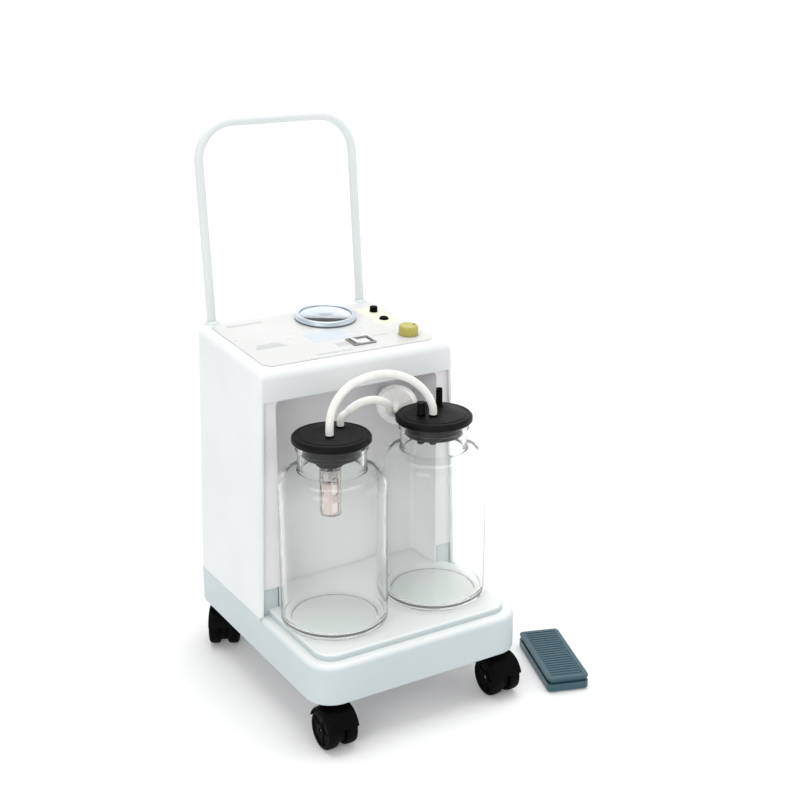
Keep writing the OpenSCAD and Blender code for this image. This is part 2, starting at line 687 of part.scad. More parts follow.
module fork(i) color(black) at_caster(i) {
    difference() {
        union() {
            translate([trail, 0, wheel_r]) rotate([90, 0, 0]) intersection() {
                cylinder(h = 41, r = hood_r, center = true);
                translate([-40, 9, -40]) cube([80, 40, 80]);
            }
            translate([trail, 0, wheel_r]) rotate([90, 0, 0]) cylinder(h = 8, r = 20, center = true);
            translate([0, 0, 40]) cylinder(h = 18, r = 13);
            translate([0, 0, 50]) cylinder(h = 42, r = 5.5);
        }
        for (s = [-1, 1]) translate([trail, s * 12.75, wheel_r]) rotate([90, 0, 0])
            cylinder(h = 17.5, r = wheel_r + 1.2, center = true);
        translate([trail, 0, wheel_r]) rotate([90, 0, 0]) cylinder(h = 60, r = 3.03, center = true);
    }
    color(steel) translate([trail, 0, wheel_r]) rotate([90, 0, 0]) cylinder(h = 38, r = 3, center = true);
}
module wheels(i) color(black) at_caster(i)
for (s = [-1, 1]) translate([trail, s * 12.75, wheel_r]) rotate([90, 0, 0]) rotate_extrude()
    polygon([[3.05, -7.5], [22, -7.5], [24.3, -6], [wheel_r, -3.5],
             [wheel_r, 3.5], [24.3, 6], [22, 7.5], [3.05, 7.5]]);
module caster_fl_fork() fork(0);
module caster_fr_fork() fork(1);
module caster_rl_fork() fork(2);
module caster_rr_fork() fork(3);
module caster_fl_wheels() wheels(0);
module caster_fr_wheels() wheels(1);
module caster_rl_wheels() wheels(2);
module caster_rr_wheels() wheels(3);

// ---------- foot switch ----------

pedal_at = [221, -159];
pedal_yaw = -19;
hinge_y = pedal_l / 2 - 9;
hinge_z = 13.5;
tray_z = 2;
tray_top = 12.5;
tray_floor = 4.5;
plate_z = 17.5;
plate_top = 21;
foot_x = 20;
foot_y = 44;
module at_pedal() translate([pedal_at[0], pedal_at[1], 0]) rotate([0, 0, pedal_yaw]) children();
module hinge_bore() translate([0, hinge_y, hinge_z]) rotate([0, 90, 0])
    cylinder(h = 100, r = 1.54, center = true);

module pedal_base() color(blue) at_pedal() {
    difference() {
        translate([0, 0, tray_z]) linear_extrude(tray_top - tray_z) rrect(pedal_w, pedal_l, 6);
        translate([0, 0, tray_floor]) linear_extrude(20) rrect(pedal_w - 5, pedal_l - 5, 4);
        translate([0, pedal_l / 2, 8.2]) rotate([90, 0, 0]) cylinder(h = 20, r = 3, center = true);
        for (x = [-foot_x, foot_x], y = [-foot_y, foot_y]) translate([x, y, 0]) cylinder(h = 20, r = 2.05);
    }
    for (s = [-1, 1]) difference() {
        translate([s * 19.5 - 2, hinge_y - 4.5, tray_floor - 0.5]) cube([4, 7.7, 12.5]);
        hinge_bore();
    }
}

module pedal_pin() color(steel) at_pedal() translate([0, hinge_y, hinge_z]) rotate([0, 90, 0])
    cylinder(h = 43, r = 1.5, center = true);

// Treadle: a plate with a skirt that runs inside the tray, two hinge lugs and a post over the switch.
module pedal_cover() color(blue) at_pedal() {
    skirt = 2;
    skirt_w = pedal_w - 6.4;
    skirt_l = pedal_l - 6.4;
    translate([0, 0, plate_z]) linear_extrude(plate_top - plate_z) rrect(pedal_w, pedal_l, 6);
    difference() {
        translate([0, 0, 10.2]) linear_extrude(plate_z - 10.2) rrect(skirt_w, skirt_l, 3.5);
        translate([0, 0, 8]) linear_extrude(plate_z - 8) rrect(skirt_w - 2 * skirt, skirt_l - 2 * skirt, 1.5);
    }
    for (s = [-1, 1]) difference() {
        translate([s * 14.5 - 2, hinge_y - 3.5, hinge_z - 3.5]) cube([4, 7, plate_z - hinge_z + 3.5]);
        hinge_bore();
    }
    translate([0, 5, 15.2]) cylinder(h = plate_z - 15.2, r = 2.5);
}

module pedal_spring() color(steel) at_pedal() translate([0, -40, tray_floor + 0.1]) difference() {
    cylinder(h = plate_z - tray_floor - 0.4, r = 6);
    translate([0, 0, -1]) cylinder(h = 20, r = 4.5);
}

module pedal_switch() color(black) at_pedal() {
    translate([-10, 0, tray_floor]) cube([20, 10, 7]);
    translate([0, 5, tray_floor + 6]) cylinder(h = 2.3, r = 2);
}

module pedal_feet() color(black) at_pedal()
for (x = [-foot_x, foot_x], y = [-foot_y, foot_y]) translate([x, y, 0]) {
    cylinder(h = tray_z, r = 6);
    translate([0, 0, 1]) cylinder(h = 4, r = 2);
}

base_pan();
base_plate();
housing_shell();
recess_panel();
rear_cover();
control_panel();
handle_tube();
handle_sockets();
cover_screws();
caster_bushes();
gauge_case();
gauge_bezel();
gauge_dial();
gauge_lens();
gauge_needle();
regulator_knob();
regulator_valve();
power_rocker();
switch_cases();
selector_knob();
fuse_holder();
mains_inlet();
foot_switch_socket();
panel_nipple();
motor_case();
pump_crankcases();
pump_cylinders();
crankshaft();
cooling_fan();
piston_left();
piston_right();
rubber_mounts();
silencer();
control_board();
vacuum_lines();
jar_left();
jar_right();
lid_left();
lid_right();
lid_ports();
port_cap();
float_cage();
float();
filter_disc();
hose_link();
hose_filter();
caster_fl_fork();
caster_fr_fork();
caster_rl_fork();
caster_rr_fork();
caster_fl_wheels();
caster_fr_wheels();
caster_rl_wheels();
caster_rr_wheels();
pedal_base();
pedal_cover();
pedal_pin();
pedal_spring();
pedal_switch();
pedal_feet();
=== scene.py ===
import math

import bmesh
import bpy
from mathutils import Matrix, Vector


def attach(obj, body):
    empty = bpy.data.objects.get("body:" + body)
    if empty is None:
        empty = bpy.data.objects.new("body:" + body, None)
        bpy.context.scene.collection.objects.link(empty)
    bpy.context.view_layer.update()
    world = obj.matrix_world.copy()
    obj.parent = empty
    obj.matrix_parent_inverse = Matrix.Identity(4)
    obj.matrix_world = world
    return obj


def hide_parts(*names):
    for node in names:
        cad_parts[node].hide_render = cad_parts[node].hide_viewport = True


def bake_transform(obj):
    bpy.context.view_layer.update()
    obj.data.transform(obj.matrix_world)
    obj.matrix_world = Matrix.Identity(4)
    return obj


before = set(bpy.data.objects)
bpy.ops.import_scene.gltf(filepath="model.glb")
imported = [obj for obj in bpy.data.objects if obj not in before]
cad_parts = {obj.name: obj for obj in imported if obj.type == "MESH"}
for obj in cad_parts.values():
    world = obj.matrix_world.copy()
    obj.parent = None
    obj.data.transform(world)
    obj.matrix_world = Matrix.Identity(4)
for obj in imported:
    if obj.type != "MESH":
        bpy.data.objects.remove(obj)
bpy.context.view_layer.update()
MM = 0.001


# ---------- camera and hoses ----------

def linked(name, data):
    """A new object in the scene."""
    obj = bpy.data.objects.new(name, data)
    bpy.context.scene.collection.objects.link(obj)
    return obj


def aimed(name, data, stand, target):
    """A camera or lamp at stand that looks at target."""
    obj = linked(name, data)
    obj.location = stand
    obj.rotation_euler = (Vector(target) - Vector(stand)).to_track_quat("-Z", "Y").to_euler()
    return obj


lens = bpy.data.cameras.new("camera")
lens.lens = 59.85
lens.clip_end = 50
bpy.context.scene.camera = aimed("camera", lens, (-0.78667, -1.41720, 0.92018), (0.075, 0.0, 0.362))

HOSE_D = 0.010
LID_BODY = "lid_set"
LINK_ROUTE = [(-0.0825, -0.097, 0.3731), (-0.0825, -0.097, 0.382), (-0.081, -0.096, 0.392), (-0.077, -0.094, 0.402),
              (-0.070, -0.092, 0.412), (-0.060, -0.090, 0.421), (-0.047, -0.088, 0.428), (-0.032, -0.087, 0.432),
              (-0.016, -0.086, 0.434), (0.0, -0.086, 0.4335), (0.015, -0.087, 0.4305), (0.029, -0.0885, 0.425),
              (0.041, -0.0905, 0.4175), (0.051, -0.093, 0.408), (0.0585, -0.0955, 0.397), (0.063, -0.0968, 0.386),
              (0.0645, -0.097, 0.379), (0.0645, -0.097, 0.3731)]
FILTER_ROUTE = [(-0.0439, -0.073, 0.3891), (-0.0372, -0.073, 0.393), (-0.029, -0.073, 0.3962), (-0.020, -0.073, 0.398),
                (-0.010, -0.073, 0.398), (0.0, -0.0723, 0.3958), (0.009, -0.070, 0.3915), (0.0165, -0.0665, 0.386),
                (0.022, -0.0615, 0.380), (0.026, -0.0555, 0.374), (0.0305, -0.050, 0.3688), (0.035, -0.0452, 0.3648),
                (0.0395, -0.0405, 0.362), (0.0439, -0.036, 0.361), (0.0485, -0.030, 0.361)]


def build(rings, caps=True, loop=False):
    """A bmesh through rings of points; a ring of one point is a pole."""
    bm = bmesh.new()
    rows = [[bm.verts.new(p) for p in ring] for ring in rings]
    pairs = list(zip(rows, rows[1:]))
    if loop:
        pairs.append((rows[-1], rows[0]))
    for a, b in pairs:
        n = max(len(a), len(b))
        for i in range(n):
            j = (i + 1) % n
            quad = [a[i % len(a)], a[j % len(a)], b[j % len(b)], b[i % len(b)]]
            face = []
            for v in quad:
                if v not in face:
                    face.append(v)
            if len(face) > 2:
                bm.faces.new(face)
    if caps and not loop:
        for row, flip in ((rows[0], True), (rows[-1], False)):
            if len(row) > 2:
                bm.faces.new(row[::-1] if flip else row)
    bmesh.ops.recalc_face_normals(bm, faces=bm.faces)
    return bm


def smooth_path(route, steps=6):
    """Points on a smooth curve through every point of the route."""
    route = [Vector(p) for p in route]
    ends = [2 * route[0] - route[1]] + route + [2 * route[-1] - route[-2]]
    made = []
    for a, b, c, d in zip(ends, ends[1:], ends[2:], ends[3:]):
        for k in range(steps):
            t = k / steps
            square, cube = 2 * a - 5 * b + 4 * c - d, 3 * b - a - 3 * c + d
            made.append(0.5 * (2 * b + (c - a) * t + square * t * t + cube * t ** 3))
    return made + [route[-1]]


def tube(path, radii, sides=32, bore=None):
    """Round tube along points, with its own radius at each; bore makes it hollow."""
    path = [Vector(p) for p in path]
    frames = []
    side = None
    for i, p in enumerate(path):
        way = (path[min(i + 1, len(path) - 1)] - path[max(i - 1, 0)]).normalized()
        side = way.orthogonal().normalized() if side is None else (side - way * side.dot(way)).normalized()
        frames.append((p, side.copy(), way.cross(side)))
    radii = radii if isinstance(radii, (list, tuple)) else [radii] * len(path)

    def ring(frame_at, r):
        p, u, v = frame_at
        return [tuple(p + u * r * math.cos(2 * math.pi * k / sides) + v * r * math.sin(2 * math.pi * k / sides))
                for k in range(sides)]
    outer = [ring(f, r) for f, r in zip(frames, radii)]
    if bore is None:
        return build(outer)
    return build(outer + [ring(f, bore) for f in frames][::-1], caps=False, loop=True)


def hose(name, route, node):
    path = smooth_path(route)
    mesh = bpy.data.meshes.new(name)
    wall = tube(path, HOSE_D / 2, 40, bore=0.0032)
    wall.to_mesh(mesh)
    wall.free()
    mesh.shade_smooth()
    mesh.set_sharp_from_angle(angle=math.radians(40))
    obj = linked(name, mesh)
    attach(obj, LID_BODY)
    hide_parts(node)
    return obj


link_hose = hose("link_hose", LINK_ROUTE, "hose_link")
filter_hose = hose("filter_hose", FILTER_ROUTE, "hose_filter")


# ---------- materials ----------

SHOULDER_Z = (0.300, 0.322)


class Nodes:
    """A short way to build one node tree."""

    def __init__(self, name):
        self.mat = bpy.data.materials.new(name)
        self.mat.use_nodes = True
        self.tree = self.mat.node_tree
        self.tree.nodes.clear()
        self.out = self.add("ShaderNodeOutputMaterial")
        self.place = self.add("ShaderNodeTexCoord").outputs["Object"]

    def add(self, kind, **values):
        node = self.tree.nodes.new(kind)
        for key, value in values.items():
            setattr(node, key, value)
        return node

    def link(self, a, b):
        self.tree.links.new(a, b)

    def put(self, socket, value):
        """Links the socket to another one, or sets its value."""
        if isinstance(value, bpy.types.NodeSocket):
            self.link(value, socket)
        elif isinstance(value, tuple) and len(socket.default_value) == 4:
            socket.default_value = (*value, 1.0)
        else:
            socket.default_value = value

    def filled(self, kind, **values):
        """A node with its inputs put in; an underscore in a key stands for a space."""
        node = self.add(kind)
        for key, value in values.items():
            self.put(node.inputs[key.replace("_", " ")], value)
        return node

    def noise(self, scale, detail=3.0, rough=0.5, stretch=None):
        place = self.place
        if stretch:
            place = self.filled("ShaderNodeMapping", Scale=stretch, Vector=place).outputs["Vector"]
        node = self.filled("ShaderNodeTexNoise", Scale=scale, Detail=detail, Roughness=rough, Vector=place)
        return node.outputs["Fac"]

    def tone(self, field, dark, light):
        """Colour that varies softly between two."""
        node = self.filled("ShaderNodeValToRGB", Fac=field)
        for element, place, colour in zip(node.color_ramp.elements, (0.3, 0.7), (dark, light)):
            element.position = place
            element.color = (*colour, 1.0)
        return node.outputs["Color"]

    def span(self, value, low, high, from_low=0.3, from_high=0.7):
        return self.filled("ShaderNodeMapRange", From_Min=from_low, From_Max=from_high, To_Min=low, To_Max=high,
                           Value=value).outputs["Result"]

    def mix(self, factor, a, b):
        node = self.add("ShaderNodeMix", data_type="RGBA")
        for i, value in ((0, factor), (6, a), (7, b)):
            self.put(node.inputs[i], value)
        return node.outputs[2]

    def bump(self, height, strength, distance):
        node = self.filled("ShaderNodeBump", Strength=strength, Distance=distance, Height=height)
        return node.outputs["Normal"]

    def height_of(self, vector):
        """The Z of a vector."""
        return self.filled("ShaderNodeSeparateXYZ", Vector=vector).outputs["Z"]

    def principled(self, **values):
        node = self.filled("ShaderNodeBsdfPrincipled", **values)
        self.link(node.outputs["BSDF"], self.out.inputs["Surface"])
        return node


def shaded(colour, factor):
    return tuple(max(0.0, min(1.0, c * factor)) for c in colour)


def moulded(name, colour, rough=0.4, grain=2600, depth=0.00003, spread=0.03, coat=0.0, subsurface=0.0, specular=0.5,
            top=None):
    """Moulded plastic or rubber: a fine spark-eroded grain, faint uneven tone and painted shade in the corners.
    top is painted light: a lighter colour on the faces that look up, as if lit from above."""
    n = Nodes(name)
    tone = n.tone(n.noise(9, 4), shaded(colour, 1 - spread), shaded(colour, 1 + spread))
    if top:
        # painted light from above: faces that look up take the lighter top colour
        up = n.height_of(n.add("ShaderNodeNewGeometry").outputs["Normal"])
        tone = n.mix(n.span(up, 0.0, 1.0, 0.35, 0.95), tone, top)
    # painted shade: the colour darkens towards 0.55 where ambient occlusion finds surfaces within 12 mm, in corners and
    # recesses
    corner = n.add("ShaderNodeAmbientOcclusion", samples=4)
    corner.inputs["Distance"].default_value = 0.012
    painted_corner_shade = n.mix(n.span(corner.outputs["AO"], 0.22, 0.0, 0.35, 0.9), tone, shaded(colour, 0.55))
    fine = n.noise(grain, 2)
    smear = n.noise(38, 5, 0.6)
    n.principled(Base_Color=painted_corner_shade, Roughness=n.span(smear, rough - 0.05, rough + 0.07),
                 Normal=n.bump(fine, 0.35, depth), Coat_Weight=coat, Coat_Roughness=0.12, Specular_IOR_Level=specular,
                 Subsurface_Weight=subsurface, Subsurface_Radius=(0.01, 0.008, 0.006), Subsurface_Scale=0.2)
    return n.mat


def metal(name, colour, rough=0.28, brushed=(1, 1, 1), depth=0.00001):
    n = Nodes(name)
    line = n.noise(900, 3, 0.6, brushed)
    tone = n.tone(n.noise(24, 4), shaded(colour, 0.9), shaded(colour, 1.06))
    n.principled(Base_Color=tone, Metallic=1.0, Roughness=n.span(line, rough - 0.08, rough + 0.1),
                 Normal=n.bump(line, 0.3, depth))
    return n.mat


def clear(name, colour, rough=0.02, ior=1.30, wave=0.00004, shadow=(0.99, 0.995, 0.993), haze=0.0):
    """Glass or clear plastic with the slight waviness of a moulding. Light from lamps passes it.
    haze is the dull film below the jars' necks."""
    n = Nodes(name)
    film = n.span(n.height_of(n.place), 1 - haze, 1.0, *SHOULDER_Z)
    shader = n.principled(Base_Color=colour, Roughness=rough, IOR=ior, Transmission_Weight=film, Specular_IOR_Level=0.2,
                          Normal=n.bump(n.noise(28, 1), 0.5, wave))
    through = n.filled("ShaderNodeBsdfTransparent", Color=shadow)
    either = n.filled("ShaderNodeMixShader", Fac=n.add("ShaderNodeLightPath").outputs["Is Shadow Ray"])
    n.link(shader.outputs["BSDF"], either.inputs[1])
    n.link(through.outputs["BSDF"], either.inputs[2])
    n.link(either.outputs["Shader"], n.out.inputs["Surface"])
    return n.mat


def silicone(name, colour):
    n = Nodes(name)
    tone = n.tone(n.noise(60, 3), shaded(colour, 0.95), shaded(colour, 1.04))
    n.principled(Base_Color=tone, Roughness=n.span(n.noise(150, 3), 0.26, 0.4), IOR=1.42,
                 Subsurface_Weight=0.6, Subsurface_Radius=(0.012, 0.009, 0.006), Subsurface_Scale=0.4,
                 Transmission_Weight=0.1, Normal=n.bump(n.noise(900, 2), 0.2, 0.00002))
    return n.mat


M = {
    "white": moulded("white_abs", (0.74, 0.765, 0.77), 0.36),
    "panel": moulded("panel_film", (0.63, 0.635, 0.625), 0.30, grain=4200, depth=0.00001),
    # painted light: the base's sides get a darker colour and its upward faces a lighter one, as if lit from above
    "pale": moulded("pale_abs", (0.52, 0.585, 0.60), 0.38, top=(0.80, 0.825, 0.82)),
    "liner": moulded("liner_abs", (0.79, 0.775, 0.795), 0.46),
    "paint": moulded("powder_coat", (0.66, 0.70, 0.705), 0.5, grain=1400, depth=0.00004, coat=0.05),
    "zinc": metal("zinc_steel", (0.60, 0.61, 0.63), 0.34),
    "rim": metal("gauge_rim", (0.68, 0.75, 0.81), 0.30, (1, 1, 12)),
    "gauge_dark": moulded("gauge_dark", (0.09, 0.11, 0.13), 0.35),
    "dial": moulded("dial_face", (0.86, 0.93, 1.0), 0.5, grain=5000, depth=0.000005),
    "needle": moulded("needle_paint", (0.02, 0.02, 0.022), 0.35),
    "yellow": moulded("knob_yellow", (0.44, 0.39, 0.075), 0.34, coat=0.2),
    "brass": metal("brass", (0.72, 0.55, 0.25), 0.3),
    "bezel": moulded("switch_bezel", (0.20, 0.205, 0.205), 0.42),
    "grey": moulded("rocker_grey", (0.70, 0.71, 0.69), 0.38),
    "black": moulded("black_nylon", (0.002, 0.002, 0.0025), 0.5, spread=0.2, specular=0.05),
    "chrome": metal("nickel", (0.75, 0.76, 0.78), 0.14),
    "alloy": metal("cast_alloy", (0.55, 0.56, 0.57), 0.45, depth=0.00006),
    "steel": metal("ground_steel", (0.52, 0.53, 0.55), 0.22, (1, 20, 20)),
    "rubber": moulded("black_rubber", (0.004, 0.0035, 0.004), 0.45,
                      grain=1800, depth=0.00005, spread=0.25, specular=0.12),
    "board": moulded("circuit_board", (0.03, 0.20, 0.09), 0.4),
    "silicone": silicone("cream_silicone", (0.97, 0.92, 0.84)),
    "glass": clear("jar_glass", (0.966, 0.982, 0.970), haze=0.05),
    "lens": clear("gauge_lens", (0.96, 0.98, 1.0), ior=1.3),
    "cage": clear("cage_plastic", (0.95, 0.90, 0.89), 0.12, 1.35),
    "float": moulded("float_white", (0.82, 0.74, 0.73), 0.45, subsurface=0.2),
    "filter": moulded("filter_housing", (1.0, 0.985, 0.965), 0.4),
    "tyre": moulded("caster_tread", (0.002, 0.002, 0.0025), 0.55,
                    grain=1500, depth=0.00008, spread=0.25, specular=0.05),
    "blue": moulded("slate_enamel", (0.024, 0.080, 0.106), 0.42, grain=1500, depth=0.00006, coat=0.15),
    "ink": moulded("print_grey", (0.50, 0.52, 0.52), 0.45),
    "ink_blue": moulded("print_blue", (0.57, 0.61, 0.66), 0.42),
    "ink_yellow": moulded("print_yellow", (0.80, 0.82, 0.62), 0.45),
    "mark": moulded("print_white", (0.85, 0.87, 0.88), 0.45),
}


# ---------- shapes ----------

def quarter(steps, first=0):
    """Angles over a quarter turn, in radians."""
    return [math.pi / 2 * k / steps for k in range(first, steps + 1)]


def polar(r, a, *z):
    return (r * math.cos(a), r * math.sin(a), *z)


def arc(centre, radius, start, stop, steps):
    """Points on an arc, in degrees, both ends included."""
    made = [polar(radius, math.radians(start + (stop - start) * i / steps)) for i in range(steps + 1)]
    return [(centre[0] + x, centre[1] + y) for x, y in made]


def soften(points, steps=5):
    """A polyline of (x, y, radius) corners with each corner rounded to its radius."""
    made = []
    count = len(points)
    for i, (x, y, r) in enumerate(points):
        if r <= 0 or i in (0, count - 1):
            made.append((x, y))
            continue
        here = Vector((x, y))
        back = Vector(points[i - 1][:2]) - here
        on = Vector(points[i + 1][:2]) - here
        half = back.angle(on) / 2
        reach = min(r / math.tan(half), back.length * 0.49, on.length * 0.49)
        r = reach * math.tan(half)
        centre = here + (back.normalized() + on.normalized()).normalized() * (r / math.sin(half))
        a = here + back.normalized() * reach - centre
        b = here + on.normalized() * reach - centre
        turn = a.angle_signed(b)
        for k in range(steps + 1):
            p = centre + Matrix.Rotation(-turn * k / steps, 2) @ a
            made.append((p.x, p.y))
    return made


def lathe(profile, sides=96, loop=False):
    """Turns (radius, height) points about Z."""
    rings = [[polar(r, 2 * math.pi * i / sides, z) for i in range(sides)] if r >= 1e-6 else [(0, 0, z)]
             for r, z in profile]
    return build(rings, caps=False, loop=loop)


def turned(corners, sides=96, loop=False, steps=5):
    """Turns (radius, height, rounding) corners about Z."""
    return lathe(soften(corners, steps), sides, loop)


def lifted(ring, z):
    return [(x, y, z) for x, y in ring]


def outline(half_w, y0, y1, r0, r1, steps=10):
    """Rounded box in plan: r0 rounds the corners at y0, r1 those at y1."""
    return (arc((half_w - r0, y0 + r0), r0, -90, 0, steps) + arc((half_w - r1, y1 - r1), r1, 0, 90, steps)
            + arc((r1 - half_w, y1 - r1), r1, 90, 180, steps) + arc((r0 - half_w, y0 + r0), r0, 180, 270, steps))


def slab(half_w, y0, y1, z0, z1, r, top=0.0, bottom=0.0, steps=8):
    """Plate with rounded corners in plan and rounded upper and lower edges."""
    levels = [(0, z0)]
    if bottom:
        levels = [(bottom * (1 - math.sin(a)), z0 + bottom * (1 - math.cos(a))) for a in quarter(5)]
    levels += [(top * (1 - math.cos(a)), z1 - top + top * math.sin(a)) for a in quarter(6)] if top else [(0, z1)]
    rings = []
    for i, z in levels:
        corner = max(r - i, 0.1)
        rings.append(lifted(outline(half_w - i, y0 + i, y1 - i, corner, corner, steps), z))
    return build(rings)


def place(x=0, y=0, z=0):
    return Matrix.Translation((x, y, z))


def turn(degrees, axis):
    return Matrix.Rotation(math.radians(degrees), 4, axis)


def moved(bm, matrix):
    bmesh.ops.transform(bm, matrix=matrix, verts=bm.verts)
    return bm


def block(x0, x1, y0, y1, z0, z1, r=0.0, steps=4):
    """Box with its upright edges rounded."""
    return moved(slab((x1 - x0) / 2, y0, y1, z0, z1, max(r, 0.02), steps=steps), place((x0 + x1) / 2))


def post(r, z0, z1, at=Matrix(), sides=48):
    """Round post about the Z of its place."""
    return moved(lathe([(0, z0), (r, z0), (r, z1), (0, z1)], sides), at)


def joined(*parts):
    """One bmesh from several that stay separate solids inside it."""
    whole = bmesh.new()
    for part in parts:
        mesh = bpy.data.meshes.new("part")
        part.to_mesh(mesh)
        part.free()
        whole.from_mesh(mesh)
        bpy.data.meshes.remove(mesh)
    return whole


def object_from(name, bm):
    mesh = bpy.data.meshes.new(name)
    bm.to_mesh(mesh)
    bm.free()
    return linked(name, mesh)


def evaluated(obj):
    return bpy.data.meshes.new_from_object(obj.evaluated_get(bpy.context.evaluated_depsgraph_get()))


def baked(obj):
    """Puts the result of the object's modifiers in its mesh."""
    mesh = evaluated(obj)
    obj.modifiers.clear()
    obj.data = mesh


def cut(bm, *tools, mode="DIFFERENCE"):
    """bm with the tools taken away or added, exactly."""
    obj = object_from("cut", bm)
    for tool in tools:
        other = object_from("tool", tool)
        modifier = obj.modifiers.new("cut", "BOOLEAN")
        modifier.operation = mode
        modifier.solver = "EXACT"
        modifier.object = other
        baked(obj)
        bpy.data.objects.remove(other)
    made = bmesh.new()
    made.from_mesh(obj.data)
    bpy.data.objects.remove(obj)
    return made


def piece(name, bm, body, material, replaces=(), at=Matrix(), bevel=0.0, angle=35, segments=3):
    """Puts a bmesh made in millimetres in the frame, in metres, as one finished piece; at is in millimetres."""
    obj = object_from(name, bm)
    obj.data.transform(Matrix.Scale(MM, 4) @ at)
    if bevel:
        modifier = obj.modifiers.new("bevel", "BEVEL")
        modifier.width = bevel * MM
        modifier.segments = segments
        modifier.limit_method = "ANGLE"
        modifier.angle_limit = math.radians(40)
        baked(obj)
    obj.data.materials.clear()
    obj.data.materials.append(M[material])
    obj.data.shade_smooth()
    obj.data.set_sharp_from_angle(angle=math.radians(angle))
    if bevel:
        modifier = obj.modifiers.new("flat faces stay flat", "WEIGHTED_NORMAL")
        modifier.keep_sharp = True
        baked(obj)
    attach(obj, body)
    if replaces:
        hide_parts(*replaces)
    return obj


# ---------- sizes shared by the pieces ----------

FRONT_Y, REAR_Y, BAY_Y = -26, 185, 40
BASE_TOP, DECK_Z, HEADER_Z, SILL_Z = 114, 122, 401, 150
TILT, DRAFT = 4, 2
SLOPE = math.tan(math.radians(TILT))
TOP_Z = 440
JAR_X, JAR_Y = 73.5, -85
LID_TOP = 371
BASE_HALF_W, BASE_HALF_L, BASE_BOTTOM, CORNER_R = 150, 185, 62, 35
BAY_HALF_W = 117
HANDLE_X, HANDLE_Y, HANDLE_Z, HANDLE_TOP, HANDLE_LEAN = 113, 172, 452, 712, 5
NIPPLE_X, NIPPLE_Z = 72, 361


def half_w(z):
    return BASE_HALF_W - (z - BASE_TOP) * math.tan(math.radians(DRAFT))


def on_top(x, y, z=0.0):
    """Place on the sloping top surface, its own Z along the surface's normal."""
    return place(x, y, TOP_Z + (y - FRONT_Y) * SLOPE) @ turn(TILT, "X") @ place(0, 0, z)


GAUGE, SWITCH, KNOB, SELECTOR, FUSE = [on_top(*at) for at in ((30, 120), (28, 20), (98, 17), (104, 118), (101, 85))]


# ---------- base ----------

def base_shape():
    edge = 9
    height = BASE_TOP - BASE_BOTTOM
    levels = [(1.5 * (1 - math.sin(a)), 1.5 * (1 - math.cos(a))) for a in quarter(4)]
    levels += [(edge * (1 - math.cos(a)), height - edge + edge * math.sin(a)) for a in quarter(10)]
    rings = []
    for i, up in levels:
        ring = outline(BASE_HALF_W - i, i - BASE_HALF_L, BASE_HALF_L - i, CORNER_R - i, CORNER_R - i, 14)
        rings.append(lifted(ring, BASE_BOTTOM + up))
    # the rear part keeps a full edge, where the housing stands on it
    corner = cut(slab(BASE_HALF_W, -BASE_HALF_L, BASE_HALF_L, 98, BASE_TOP, CORNER_R, steps=14),
                 block(-200, 200, FRONT_Y, 300, 90, 130), mode="INTERSECT")
    deck = slab(136, -171, 60, BASE_TOP - 2, DECK_Z, 24, top=3.5, steps=12)
    sills = [moved(slab(11.5, -22, 40, BASE_TOP - 2, SILL_Z, 3, top=1.5, steps=5), place(s * 131.5)) for s in (-1, 1)]
    whole = cut(build(rings), corner, deck, *sills, mode="UNION")
    hollow = slab(147, -182, 182, 60, BASE_TOP - 4, 32, top=2, steps=14)
    return cut(whole, hollow, block(-118, 118, 50, 175, 100, 130, 4))


piece("base_moulding", base_shape(), "pump", "pale", ["base_pan"], bevel=0.5, segments=2)


# ---------- housing ----------

def shell_shape(inset, bottom, steps):
    straight = 428
    r = 12 - inset
    front_r, rear_r = max(5 - inset, 1), CORNER_R - inset
    rings = []
    for z in [bottom, (bottom + straight) / 2]:
        rings.append(lifted(outline(half_w(z) - inset, FRONT_Y + inset, REAR_Y - inset, front_r, rear_r, steps), z))
    for a in quarter(10):
        i = inset + r * (1 - math.cos(a))
        ring = outline(half_w(straight) - i, FRONT_Y + i, REAR_Y - i, front_r + 0.01, CORNER_R - i, steps)
        rings.append([(x, y, straight + r * math.sin(a) + (y - FRONT_Y) * SLOPE) for x, y in ring])
    return build(rings)


def mouth_shape():
    return build([lifted(outline(half_w(z) - 6, FRONT_Y - 30, FRONT_Y + 20, 2, 2, 3), z)
                  for z in (BASE_TOP - 1, HEADER_Z)])


def top_holes():
    """Tools for the openings in the top, which the housing and the panel share."""
    holes = [post(r, -30, 30, at, 64) for at, r in ((GAUGE, 37.3), (KNOB, 5), (SELECTOR, 4.2), (FUSE, 6.2))]
    return holes + [moved(block(-14.8, 14.8, -11.8, 11.8, -20, 20, 1), SWITCH)]


def leg(side):
    """Place where a leg of the handle leaves the housing; side 0 is between the legs."""
    return place(side * HANDLE_X, HANDLE_Y, HANDLE_Z) @ turn(-HANDLE_LEAN, "X")


def rear_at(x, z):
    """Place on the rear wall, its own Z pointing to the rear."""
    return place(x, REAR_Y, z) @ turn(-90, "X")


INLET, SOCKET = rear_at(0, 131), rear_at(40, 131)


shell = cut(shell_shape(0, BASE_TOP, 12), shell_shape(4, BASE_TOP - 1, 12), mouth_shape(),
            *top_holes(),
            *[post(6.4, -30, 30, leg(s)) for s in (-1, 1)],
            block(-92, 92, 150, 210, 164, 386, 2), moved(block(-14.5, 14.5, -10.5, 10.5, -20, 20, 1), INLET),
            post(9.2, -20, 20, SOCKET))
piece("housing", shell, "pump", "white", ["housing_shell"], bevel=0.8)


